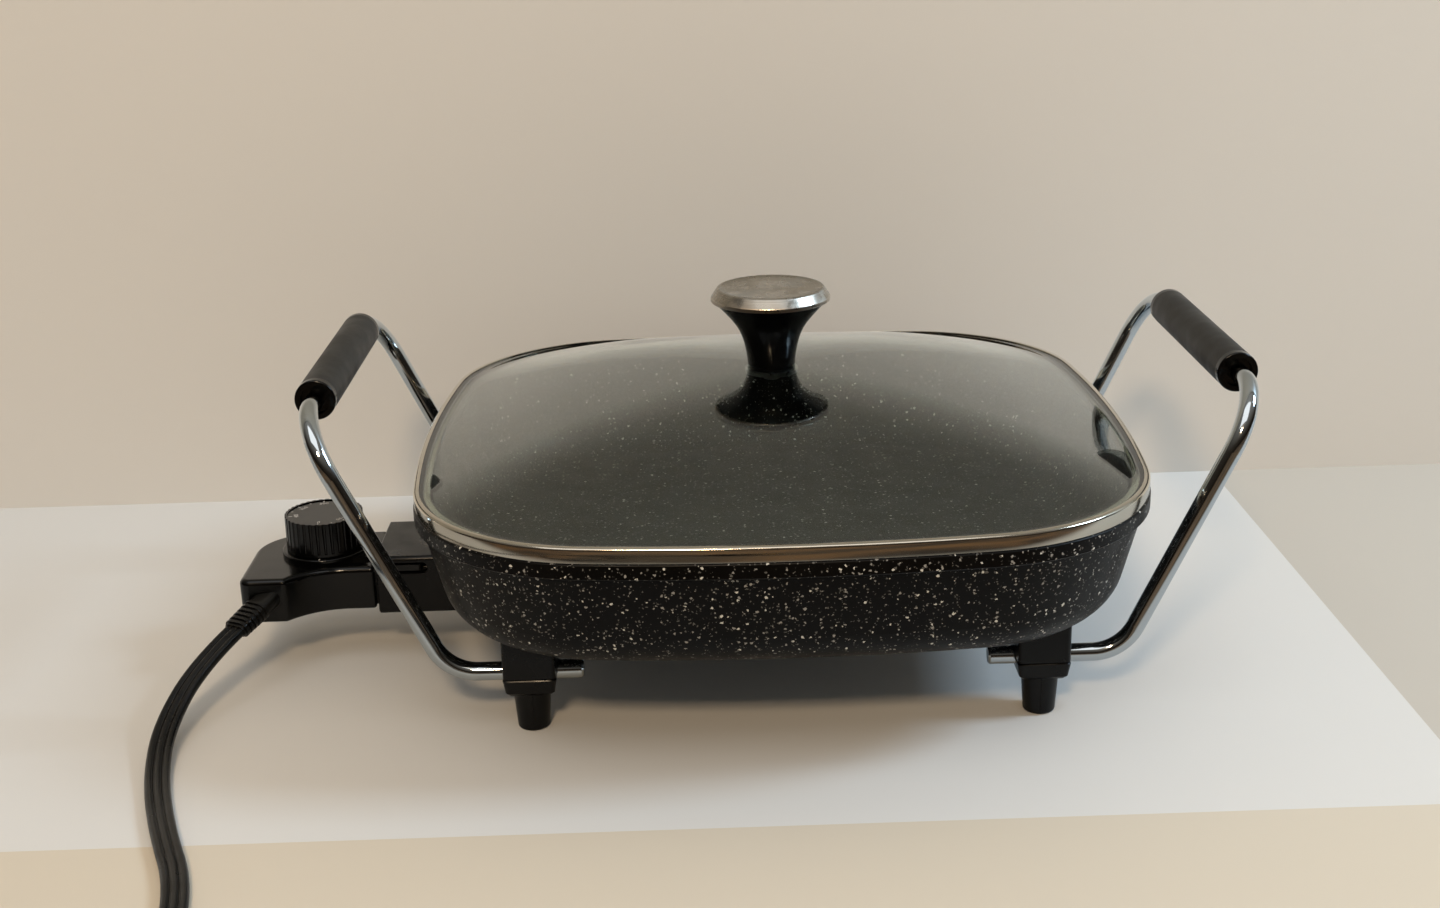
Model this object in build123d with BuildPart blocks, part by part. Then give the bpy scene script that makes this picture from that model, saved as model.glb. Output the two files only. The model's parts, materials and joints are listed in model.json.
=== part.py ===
"""Square electric skillet: cast pan, glass lid, bail handles, plug-in heat control and its cord.

Millimetres, +Z up. The origin is on the surface the skillet stands on, under the middle of the
space it takes between the back of the heat control and the outside of the right grip.
"""

from build123d import *
from math import atan2, copysign, cos, degrees, pi, radians, sin, sqrt, tan
import os

os.makedirs("parts", exist_ok=True)

# ---------------------------------------------------------------- driving dimensions
# Pan: a soft square, its sides long arcs and its corners short ones
RIM_HALF = 160.0            # centre to the middle of a side, at the lip
SIDE_RADIUS = 756.0
CORNER_RADIUS = 84.0
PAN_HEIGHT = 52.3           # underside of the floor to the top of the lip
LIP_HEIGHT = 6.8
LIP_STEP = 2.6              # the wall starts this far inside the lip
LIP_EDGE = 0.8
ROD_Z = 26.0                # seam of bracket and foot, and axis of the rod clamped in it
LEG_BRACKET_HEIGHT = 20.0
PAN_FLOOR_Z = ROD_Z + LEG_BRACKET_HEIGHT     # underside of the floor
FLOOR_THICKNESS = 4.0
WALL_THICKNESS = 3.2
WALL_DRAFT = 14.4           # degrees
FLOOR_CORNER = 22.0         # radius between wall and floor, outside
MOUTH_EDGE = 0.8            # rounding of the lip's inner edge
RIM_Z = PAN_FLOOR_Z + PAN_HEIGHT
SEAT_SINK = 3.0             # how far ribs and pads run on into the floor that they grow from

# Heating element, cast into a rib under the floor
ELEMENT_DROP = 8.0          # axis of the element, its pins and the probe below the floor
ELEMENT_Z = PAN_FLOOR_Z - ELEMENT_DROP
ELEMENT_DIAMETER = 8.0
ELEMENT_RIB_WIDTH = 14.0
ELEMENT_RIB_DEPTH = 14.0    # below the floor
ELEMENT_RIB_CORNER = 3.0
ELEMENT_LOOP_X = RIM_HALF - 76.0     # half length and half width of the loop
ELEMENT_LOOP_Y = RIM_HALF - 92.0
ELEMENT_TURN = 30.0
ELEMENT_RETURN_TURN = 16.0
PIN_PITCH = 28.0
PIN_DIAMETER = 4.8
PIN_LENGTH = 24.0           # what stands out of the element
PIN_ROOT = 12.0             # what sits inside it
PIN_TIP = 0.8
ELEMENT_END_X = RIM_HALF - 26.0      # the rib ends here, left of the pan's middle
INSULATOR_DIAMETER = 9.0
INSULATOR_LENGTH = 4.0

# Probe and the sleeve it slides in
PROBE_DIAMETER = 6.35
PROBE_CLEARANCE = 0.075
PROBE_TIP_X = RIM_HALF - 88.0
PROBE_BOSS_WIDTH = 13.0
PROBE_BOSS_END = 5.0        # metal past the probe's tip
PROBE_TIP_GAP = 1.5

# Legs: a bracket under the pan and a foot, with the handle rod clamped between them
LEG_X = RIM_HALF - 50.8
LEG_Y = RIM_HALF - 66.3
LEG_WIDTH = 22.4
LEG_CORNER = 2.2
LEG_EDGE = 0.5              # chamfer where bracket and shoe meet
SHOE_HEIGHT = 8.0
SHOE_BOTTOM_WIDTH = 20.4
SHOE_CHAMFER = 1.6
POST_TOP_DIAMETER = 16.2
POST_BOTTOM_DIAMETER = 13.6
POST_EDGE = 1.3
MOULD_RIDGE = 0.6           # how far the mould's parting line stands proud
MOULD_RIDGE_WIDTH = 1.2
SHOE_OVERHANG = 0.25        # the shoe is this much wider than its bracket, each side
PAD_DIAMETER = 10.0         # pad of pan metal that the leg screw bites in
PAD_DEPTH = 8.0
PAD_CLEARANCE = 0.2
SCREW_DIAMETER = 4.0
SCREW_HOLE_DIAMETER = 4.5
SCREW_HEAD_DIAMETER = 7.0
SCREW_HEAD_HEIGHT = 2.8
SCREW_RECESS_DIAMETER = 7.4
SCREW_RECESS_DEPTH = 10.0
SCREW_BITE = 2.4            # how far the screw goes past the underside of the floor

# Handles
ROD_DIAMETER = 8.0
ROD_END_EDGE = 0.8
ROD_STUB = 22.7             # from the leg's axis to the inner end of the rod
ROD_KNEE = 35.0             # from there to where the level run and the slope would cross
HANDLE_X = RIM_HALF + 37.3  # middle of the cross bar
HANDLE_Z = RIM_Z + 40.2
KNEE_RADIUS = 20.0
SHOULDER_RADIUS = 26.0
GRIP_LENGTH = 117.6
GRIP_DIAMETER = 17.6
GRIP_WALL = 2.6
GRIP_EDGE = 0.8
CAP_LENGTH = 4.0
CAP_RECESS_DIAMETER = 12.6
CAP_RECESS_DEPTH = 2.2
CAP_SPIGOT_LENGTH = 7.0
CAP_CLEARANCE = 0.05

# Lid
LID_GAP = 0.2               # between the pan's lip and the band
BAND_HEIGHT = 6.4
BAND_WALL = 0.6
BAND_INSET = 0.4            # outside of the band behind the outside of the lip
BAND_LIP = 4.6              # how far the band reaches over and under the glass
BAND_EDGE = 1.2
BAND_LEG_DEPTH = 3.0        # the leg that keeps the lid in the pan's mouth
BAND_LEG_GAP = 1.0
GLASS_THICKNESS = 4.0
GLASS_FLAT = 5.2            # flat edge that the band is crimped on
GLASS_CONE = 38.0           # from the edge, the glass rises straight this far, then crowns over
GLASS_SLOPE = 0.305
GLASS_CROWN_STEPS = 5
KNOB_SEAT_RADIUS = 4.5      # the crown is level inside this
KNOB_HOLE_DIAMETER = 7.0

# Knob, heights from the top of the glass
CAP_TOP_DIAMETER = 48.2
CAP_BEVEL = 3.0             # run of the bevel round its top
CAP_DIAMETER = CAP_TOP_DIAMETER + 2 * CAP_BEVEL
CAP_ROUND = 0.7             # rounding of the bevel's two edges
CAP_BOTTOM_Z = 29.7
CAP_BEVEL_Z = CAP_BOTTOM_Z + 1.5
CAP_TOP_Z = CAP_BEVEL_Z + 4.4
CAP_WALL = 1.2
CAP_DISH = 0.9
STEM_BASE_RADIUS = 10.9
STEM_RIM_RADIUS = CAP_DIAMETER / 2 - CAP_WALL - 0.5
STEM_RIM_Z = CAP_BOTTOM_Z - 0.5
STEM_SHOULDER_Z = CAP_BEVEL_Z - 0.2
STEM_TOP_RADIUS = CAP_TOP_DIAMETER / 2 - 1.7
STEM_TOP_Z = CAP_TOP_Z - CAP_DISH - CAP_WALL - 0.1
STEM_CURVE = ((11.6, 6.2), (14.9, 16.5), (STEM_RIM_RADIUS - 5.2, 23.6))
STEM_CORE_RADIUS = STEM_TOP_RADIUS - 4.4  # hollow moulded into the stem from above
STEM_CORE_FOOT_RADIUS = 7.6
STEM_CORE_Z = 7.0
STEM_BOSS_RADIUS = 5.0
STEM_BOSS_Z = 22.0
KNOB_SCREW_DIAMETER = 5.0
KNOB_SCREW_HEAD_DIAMETER = 9.0
KNOB_SCREW_HEAD_HEIGHT = 3.0
KNOB_SCREW_REACH = 18.0
WASHER_DIAMETER = 24.0
WASHER_THICKNESS = 1.5
GASKET_DIAMETER = 20.0
GASKET_THICKNESS = 1.0
GASKET_GAP = 0.05

# Terminal guard, the fixed shroud round the pins
GUARD_HALF_WIDTH = 24.3
GUARD_OUTER_X = RIM_HALF + 25.0
GUARD_INNER_X = RIM_HALF - 31.0
GUARD_BOTTOM_Z = ELEMENT_Z - 14.0
GUARD_TOP_Z = ELEMENT_Z + 14.0
GUARD_WALL = 2.6
GUARD_CORNER = 2.0
GUARD_EDGE = 0.6
GUARD_SLOT_LOW_Z = ELEMENT_Z + 5.6
GUARD_SLOT_HIGH_Z = ELEMENT_Z + 11.2
GUARD_SLOT_END_X = GUARD_OUTER_X - 24.0
GUARD_EAR_Y = GUARD_HALF_WIDTH + 11.7
GUARD_EAR_X = RIM_HALF - 44.0
GUARD_EAR_DIAMETER = 12.0
GUARD_EAR_THICKNESS = 3.0
GUARD_EAR_ROOT = (GUARD_INNER_X + 8.0, GUARD_HALF_WIDTH + 1.9)
GUARD_EAR_ROOT_RADIUS = 3.0
GUARD_PAD_DEPTH = 4.0
GUARD_GAP = 0.3             # kept between the guard and the pan's side

# Heat control
CONTROL_TOP_Z = ELEMENT_Z + 9.4
CONTROL_BOTTOM_Z = ELEMENT_Z - 11.4
CONTROL_SPLIT_Z = ELEMENT_Z - 1.0
CONTROL_FRONT_X = GUARD_OUTER_X + 1.0     # shoulder that stops against the guard
CONTROL_BACK_X = CONTROL_FRONT_X + 59.6
CONTROL_HALF_WIDTH = 24.0
CONTROL_FLARE_Y = CONTROL_HALF_WIDTH + 12.5
CONTROL_FLARE_X = CONTROL_FRONT_X + 38.6
CONTROL_WAIST_X = CONTROL_FRONT_X + 27.2
CONTROL_CORNERS = (1.5, 34.0, 3.0, 5.0, 23.0, 1.5)
CONTROL_WALL = 2.4
CONTROL_TOP_EDGE = 2.6
CONTROL_BOTTOM_EDGE = 1.6
NOSE_HALF_WIDTH = 21.0
NOSE_END_X = GUARD_OUTER_X - 42.0
NOSE_CORNER = 1.5
NOSE_LOW_Z = ELEMENT_Z - 10.6
NOSE_HIGH_Z = ELEMENT_Z + 8.4
NOSE_RIB_LOW_Z = GUARD_SLOT_LOW_Z + 1.3
NOSE_RIB_HEIGHT = 2.8
NOSE_RIB_REACH = 2.4
NOSE_RIB_END_X = GUARD_SLOT_END_X + 2.5
DIAL_X = CONTROL_FRONT_X + 25.4
DIAL_DIAMETER = 36.6
DIAL_HEIGHT = 16.2
DIAL_DRAFT = 1.2
DIAL_FLUTES = 36
DIAL_FLUTE_DIAMETER = 1.2
DIAL_SKIRT_HEIGHT = 1.4     # plain band under the flutes
DIAL_FACE_EDGE = 1.2        # width of the rim round the sunk face
DIAL_FACE_DEPTH = 0.5
DIAL_GAP = 0.4              # between the dial and its collar
COLLAR_DIAMETER = DIAL_DIAMETER + 4.4
COLLAR_TOP_Z = CONTROL_TOP_Z + 2.6
COLLAR_EDGE = 0.8
DIAL_BOTTOM_Z = COLLAR_TOP_Z + DIAL_GAP
DIAL_TOP_Z = DIAL_BOTTOM_Z + DIAL_HEIGHT
NECK_HALF_WIDTH = 14.5
NECK_TOP_Z = CONTROL_TOP_Z + 1.5
SHAFT_DIAMETER = 6.0
SHAFT_CLEARANCE = 0.05
SHAFT_BOTTOM_Z = ELEMENT_Z + 2.0
SHAFT_TOP_Z = DIAL_TOP_Z - 3.1
SOCKET_DIAMETER = 7.0
SOCKET_FRONT_X = NOSE_END_X + 3.0
SOCKET_LENGTH = 22.0
PIN_CLEARANCE = 0.05
PIN_DOOR_DIAMETER = 6.4     # holes in the nose for the pins
PROBE_BORE_DIAMETER = 5.0
PROBE_TIP_WALL = 4.0
PROBE_TAIL = 4.0            # what stands out behind the ceramic block
BLOCK_LENGTH = 16.0
BLOCK_SIDE_GAP = 0.1
BRACKET_THICKNESS = 1.2
BRACKET_WIDTH = 12.0
BRACKET_LENGTH = 50.0
BRACKET_HEIGHT = 12.0
BIMETAL_WIDTH = 8.0
BIMETAL_THICKNESS = 1.0
BIMETAL_PROBE_GAP = 6.0     # between its free end and the probe's back
BIMETAL_GAP = 0.3           # between the shaft's end and the blade
CONTACT_PITCH = 23.0
CONTACT_WIDTH = 4.0
CONTACT_THICKNESS = 0.8
CONTACT_LENGTH = 58.0
CASE_SCREW_DIAMETER = 3.0
CASE_SCREW_HEAD = 5.4
CASE_SCREW_HEAD_HEIGHT = 2.0
CASE_SCREW_RECESS = 3.2
CASE_SCREW_LENGTH = 12.0
CASE_POST_DIAMETER = 7.0
CASE_POSTS = (
    (-CONTROL_FRONT_X - 8.0, -18.0),
    (-CONTROL_FRONT_X - 8.0, 18.0),
    (-CONTROL_BACK_X + 9.5, 8.0),
)

# Cord, strain relief and plug
CORD_WIDTH = 10.3
CORD_THICKNESS = 4.2
CORD_EDGE = 1.9
ARC_SHARE = 0.45            # of the shorter run, which an arc takes at each side of its corner
RELIEF_ROOT = (-CONTROL_BACK_X + 11.6, -CONTROL_FLARE_Y, CONTROL_SPLIT_Z + 0.2)
RELIEF_DIRECTION = (-0.483, -0.825, -0.295)
RELIEF_LENGTH = 21.0
RELIEF_INSIDE = 7.0         # what sits inside the housing
RELIEF_ROOT_SIZE = (12.0, 8.0)
RELIEF_TIP_SIZE = (11.4, 6.0)
RELIEF_RIBS = 6
RELIEF_RIB_START = 5.2
RELIEF_RIB_LENGTH = 1.4
RELIEF_RIB_REACH = 0.8
CORD_ROUTE = (
    (-256.7, -75.27, 23.34),
    (-265.5, -103.0, 8.5),
    (-261.0, -135.0, 2.3),
    (-247.5, -176.0, 2.3),
    (-228.0, -222.0, 2.3),
    (-222.0, -280.0, 2.3),
    (-217.0, -334.0, 2.3),
)
TAIL_ROUTE = (
    (-152.0, -386.0, 2.3),
    (-122.0, -384.0, 2.3),
    (-96.0, -380.6, 3.2),
    (-72.0, -378.0, 10.0),
    (-52.0, -378.0, 10.0),
)
COIL_CENTRE = (-163.0, -322.0)
COIL_RADIUS = 58.25
COIL_SECTION = 24.5
COIL_HEIGHT = 9.4
COIL_LIFT = 1.2
COIL_EDGE = 2.0
TIE_ANGLE = 250.0
TIE_WIDTH = 9.0
TIE_THICKNESS = 1.2
TIE_EASE = 0.4
TIE_EDGE = 1.0
PLUG_LENGTH = 36.0
PLUG_TAIL = 14.0
PLUG_WIDTH = 28.0
PLUG_HEIGHT = 20.0
PLUG_CORNER = 5.0
PLUG_EDGE = 1.5
PLUG_TAIL_WALL = 1.5        # sheath of the tail round the cord
BLADE_LENGTH = 17.5
BLADE_ROOT = 5.0
BLADE_WIDTH = 6.35
BLADE_THICKNESS = 1.5
BLADE_PITCH = 12.7
BLADE_OFFSET = 5.6
GROUND_PIN_DIAMETER = 4.8
GROUND_PIN_LENGTH = 20.5
GROUND_PIN_OFFSET = 11.9
GROUND_PIN_TIP = 2.2

# The box round everything but the cord reaches from the control's back to the right grip
PAN_X = (CONTROL_BACK_X - HANDLE_X - GRIP_DIAMETER / 2) / 2
LIP_BOTTOM_Z = RIM_Z - LIP_HEIGHT
SIDES = {"left": -1, "right": 1}
ENDS = {"front": -1, "rear": 1}


# ---------------------------------------------------------------- shared geometry
def place(x, y, z):
    """A point given from the middle of the pan."""
    return (PAN_X + x, y, z)


def level(z, up=True):
    """A horizontal plane over the middle of the pan, at height z."""
    return Plane(origin=place(0, 0, z), x_dir=(1, 0, 0), z_dir=(0, 0, 1 if up else -1))


def facing_x(x, y=0.0, z=0.0):
    """A plane across X: its own x is the pan's y and its own y is up."""
    return Plane(origin=place(x, y, z), x_dir=(0, 1, 0), z_dir=(1, 0, 0))


def facing_y(x, y, z):
    """A plane across Y: its own x is the pan's x and its own y is up."""
    return Plane(origin=place(x, y, z), x_dir=(1, 0, 0), z_dir=(0, -1, 0))


def soft_square(inset, scale=1.0):
    """The pan's outline as a flat face, moved inwards or scaled about its middle."""
    half = (RIM_HALF - inset) * scale
    side = (SIDE_RADIUS - inset) * scale
    corner = (CORNER_RADIUS - inset) * scale
    shift = side - half
    centre = (-2 * shift + sqrt(4 * shift**2 - 8 * (shift**2 - (side - corner) ** 2))) / 4
    meet = degrees(atan2(centre, centre + shift))
    with BuildSketch() as outline:
        with BuildLine():
            for turn in (0, 90, 180, 270):
                a = radians(turn)
                side_middle = (-shift * cos(a), -shift * sin(a))
                corner_middle = (centre * (cos(a) - sin(a)), centre * (sin(a) + cos(a)))
                CenterArc(side_middle, side, turn - meet, 2 * meet)
                CenterArc(corner_middle, corner, turn + meet, 90 - 2 * meet)
        make_face()
    return outline.sketch


def finish(part, name):
    part.part.label = name
    export_step(part.part, f"parts/{name}.step")


def at_height(edges, z, slack=0.05):
    return edges.filter_by_position(Axis.Z, z - slack, z + slack)


# ---------------------------------------------------------------- pan
def element_path():
    """The element's axis, from one terminal round the loop and back to the other."""
    y = PIN_PITCH / 2
    in_x = -ELEMENT_LOOP_X
    return FilletPolyline(
        place(-ELEMENT_END_X, -y, ELEMENT_Z),
        place(in_x, -y, ELEMENT_Z),
        place(in_x, -ELEMENT_LOOP_Y, ELEMENT_Z),
        place(ELEMENT_LOOP_X, -ELEMENT_LOOP_Y, ELEMENT_Z),
        place(ELEMENT_LOOP_X, ELEMENT_LOOP_Y, ELEMENT_Z),
        place(in_x, ELEMENT_LOOP_Y, ELEMENT_Z),
        place(in_x, y, ELEMENT_Z),
        place(-ELEMENT_END_X, y, ELEMENT_Z),
        radius=[
            ELEMENT_RIB_WIDTH,
            ELEMENT_RETURN_TURN,
            ELEMENT_TURN,
            ELEMENT_TURN,
            ELEMENT_RETURN_TURN,
            ELEMENT_RIB_WIDTH,
        ],
        mode=Mode.PRIVATE,
    )


def tub(top_z, bottom_z, inset, corner):
    """A drafted block in the pan's outline with a rounded foot: the pan's outside, or its hollow."""
    with BuildPart() as block:
        with BuildSketch(level(top_z, up=False)):
            add(soft_square(inset))
        extrude(amount=top_z - bottom_z, taper=WALL_DRAFT)
        fillet(at_height(block.edges(), bottom_z), corner)
    return block.part


loop = element_path()
cavity_floor_z = PAN_FLOOR_Z + FLOOR_THICKNESS
lip_width = LIP_STEP + WALL_THICKNESS

with BuildPart() as pan_body:
    with BuildSketch(level(LIP_BOTTOM_Z)):
        add(soft_square(0))
    extrude(amount=LIP_HEIGHT)
    chamfer(at_height(pan_body.edges(), LIP_BOTTOM_Z), LIP_EDGE)
    add(tub(LIP_BOTTOM_Z, PAN_FLOOR_Z, LIP_STEP, FLOOR_CORNER))
    with BuildSketch(level(RIM_Z, up=False)):
        add(soft_square(lip_width))
    extrude(amount=LIP_HEIGHT, mode=Mode.SUBTRACT)
    cavity = tub(LIP_BOTTOM_Z, cavity_floor_z, lip_width, FLOOR_CORNER - WALL_THICKNESS)
    add(cavity, mode=Mode.SUBTRACT)
    fillet(at_height(pan_body.edges(), RIM_Z), MOUTH_EDGE)
    # rib round the element
    with BuildSketch(facing_x(-ELEMENT_END_X, -PIN_PITCH / 2, ELEMENT_Z)):
        with Locations((0, ELEMENT_DROP + (SEAT_SINK - ELEMENT_RIB_DEPTH) / 2)):
            RectangleRounded(ELEMENT_RIB_WIDTH, ELEMENT_RIB_DEPTH + SEAT_SINK, ELEMENT_RIB_CORNER)
    sweep(path=loop, transition=Transition.ROUND)
    # sleeve for the probe
    with BuildSketch(facing_x(-ELEMENT_END_X, 0, ELEMENT_Z)):
        with Locations((0, (ELEMENT_DROP + SEAT_SINK) / 2)):
            Rectangle(PROBE_BOSS_WIDTH, ELEMENT_DROP + SEAT_SINK)
        Circle(PROBE_BOSS_WIDTH / 2)
    extrude(amount=ELEMENT_END_X - PROBE_TIP_X + PROBE_BOSS_END)
    with BuildSketch(facing_x(-ELEMENT_END_X, 0, ELEMENT_Z)):
        Circle(PROBE_DIAMETER / 2 + PROBE_CLEARANCE)
    extrude(amount=ELEMENT_END_X - PROBE_TIP_X + PROBE_TIP_GAP, mode=Mode.SUBTRACT)
    # pads for the leg screws and for the guard's screws
    with BuildSketch(level(PAN_FLOOR_Z + SEAT_SINK, up=False)):
        with GridLocations(2 * LEG_X, 2 * LEG_Y, 2, 2):
            Circle(PAD_DIAMETER / 2)
    extrude(amount=PAD_DEPTH + SEAT_SINK)
    with BuildSketch(level(PAN_FLOOR_Z + SEAT_SINK, up=False)):
        with Locations((-GUARD_EAR_X, -GUARD_EAR_Y), (-GUARD_EAR_X, GUARD_EAR_Y)):
            Circle(GUARD_EAR_DIAMETER / 2)
    extrude(amount=GUARD_PAD_DEPTH + SEAT_SINK)
    with BuildSketch(level(PAN_FLOOR_Z + SCREW_BITE, up=False)):
        with GridLocations(2 * LEG_X, 2 * LEG_Y, 2, 2):
            Circle(SCREW_DIAMETER / 2)
        with Locations((-GUARD_EAR_X, -GUARD_EAR_Y), (-GUARD_EAR_X, GUARD_EAR_Y)):
            Circle(SCREW_DIAMETER / 2)
    extrude(amount=PAD_DEPTH + SCREW_BITE, mode=Mode.SUBTRACT)
    with BuildSketch(facing_x(-ELEMENT_END_X, -PIN_PITCH / 2, ELEMENT_Z)):
        Circle(ELEMENT_DIAMETER / 2)
    sweep(path=loop, mode=Mode.SUBTRACT)
finish(pan_body, "pan_body")

# ---------------------------------------------------------------- element and terminals


pin_tip_x = ELEMENT_END_X + PIN_LENGTH

with BuildPart() as heating_element:
    with BuildSketch(facing_x(-ELEMENT_END_X, -PIN_PITCH / 2, ELEMENT_Z)):
        Circle(ELEMENT_DIAMETER / 2)
    sweep(path=loop)
    with BuildSketch(facing_x(-ELEMENT_END_X, 0, ELEMENT_Z)):
        with GridLocations(PIN_PITCH, 1, 2, 1):
            Circle(PIN_DIAMETER / 2)
    extrude(amount=PIN_ROOT, mode=Mode.SUBTRACT)
finish(heating_element, "heating_element")

with BuildPart() as terminal_pins:
    with BuildSketch(facing_x(-pin_tip_x, 0, ELEMENT_Z)):
        with GridLocations(PIN_PITCH, 1, 2, 1):
            Circle(PIN_DIAMETER / 2)
    extrude(amount=PIN_LENGTH + PIN_ROOT)
    chamfer(terminal_pins.edges().group_by(Axis.X)[0], PIN_TIP)
finish(terminal_pins, "terminal_pins")

with BuildPart() as terminal_insulators:
    with BuildSketch(facing_x(-ELEMENT_END_X - INSULATOR_LENGTH, 0, ELEMENT_Z)):
        with GridLocations(PIN_PITCH, 1, 2, 1):
            Circle(INSULATOR_DIAMETER / 2)
            Circle(PIN_DIAMETER / 2, mode=Mode.SUBTRACT)
    extrude(amount=INSULATOR_LENGTH)
finish(terminal_insulators, "terminal_insulators")

# ---------------------------------------------------------------- terminal guard
guard_length = GUARD_OUTER_X - GUARD_INNER_X
guard_middle_z = (GUARD_BOTTOM_Z + GUARD_TOP_Z) / 2
guard_roof_z = GUARD_SLOT_HIGH_Z
guard_floor_z = GUARD_BOTTOM_Z + GUARD_WALL
ear_top_z = PAN_FLOOR_Z - GUARD_PAD_DEPTH
ear_places = [(-GUARD_EAR_X, end * GUARD_EAR_Y) for end in ENDS.values()]

with BuildPart() as terminal_guard:
    with BuildSketch(facing_x(-GUARD_OUTER_X, 0, guard_middle_z)):
        RectangleRounded(2 * GUARD_HALF_WIDTH, GUARD_TOP_Z - GUARD_BOTTOM_Z, GUARD_CORNER)
    extrude(amount=guard_length)
    chamfer(terminal_guard.faces().sort_by(Axis.X)[0].edges(), GUARD_EDGE)
    with BuildSketch(facing_x(-GUARD_OUTER_X, 0, (guard_floor_z + guard_roof_z) / 2)):
        Rectangle(2 * (GUARD_HALF_WIDTH - GUARD_WALL), guard_roof_z - guard_floor_z)
    extrude(amount=guard_length, mode=Mode.SUBTRACT)
    # slots for the control's guide ribs, open at the outer end and rounded at the inner one
    slot_height = GUARD_SLOT_HIGH_Z - GUARD_SLOT_LOW_Z
    slot_length = GUARD_OUTER_X - GUARD_SLOT_END_X
    with BuildSketch(facing_y(-GUARD_OUTER_X, GUARD_HALF_WIDTH, GUARD_SLOT_LOW_Z + slot_height / 2)):
        SlotOverall(2 * slot_length, slot_height)
    extrude(amount=2 * GUARD_HALF_WIDTH, mode=Mode.SUBTRACT)
    # ears under the pan
    for x, y in ear_places:
        with BuildSketch(level(ear_top_z - GUARD_EAR_THICKNESS)):
            with Locations((x, y)):
                Circle(GUARD_EAR_DIAMETER / 2)
            with Locations((-GUARD_EAR_ROOT[0], copysign(GUARD_EAR_ROOT[1], y))):
                Circle(GUARD_EAR_ROOT_RADIUS)
            make_hull()
        extrude(amount=GUARD_EAR_THICKNESS)
    with BuildSketch(level(ear_top_z - GUARD_EAR_THICKNESS)):
        with Locations(*ear_places):
            Circle(SCREW_HOLE_DIAMETER / 2)
    extrude(amount=GUARD_EAR_THICKNESS, mode=Mode.SUBTRACT)
    add(
        tub(LIP_BOTTOM_Z, PAN_FLOOR_Z - GUARD_GAP, LIP_STEP - GUARD_GAP, FLOOR_CORNER + GUARD_GAP),
        mode=Mode.SUBTRACT,
    )
finish(terminal_guard, "terminal_guard")


def upright_screws(name, places, head_z, head_diameter, head_height, diameter, length):
    """Screws driven upwards, their heads resting against head_z from below."""
    with BuildPart() as screws:
        with BuildSketch(level(head_z - head_height)):
            with Locations(*places):
                Circle(head_diameter / 2)
        extrude(amount=head_height)
        chamfer(at_height(screws.edges(), head_z - head_height), head_height / 4)
        with BuildSketch(level(head_z)):
            with Locations(*places):
                Circle(diameter / 2)
        extrude(amount=length)
    finish(screws, name)


upright_screws(
    "guard_screws",
    ear_places,
    ear_top_z - GUARD_EAR_THICKNESS,
    SCREW_HEAD_DIAMETER,
    SCREW_HEAD_HEIGHT,
    SCREW_DIAMETER,
    GUARD_PAD_DEPTH + GUARD_EAR_THICKNESS + SCREW_BITE,
)

# ---------------------------------------------------------------- legs
leg_places = [(side * LEG_X, end * LEG_Y) for side in SIDES.values() for end in ENDS.values()]
shoe_bottom_z = ROD_Z - SHOE_HEIGHT
shoe_top_width = LEG_WIDTH + 2 * SHOE_OVERHANG


def leg_level(side, end, z):
    """A horizontal plane on a leg's axis."""
    return Plane(origin=place(side * LEG_X, end * LEG_Y, z), x_dir=(1, 0, 0), z_dir=(0, 0, 1))


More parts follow.
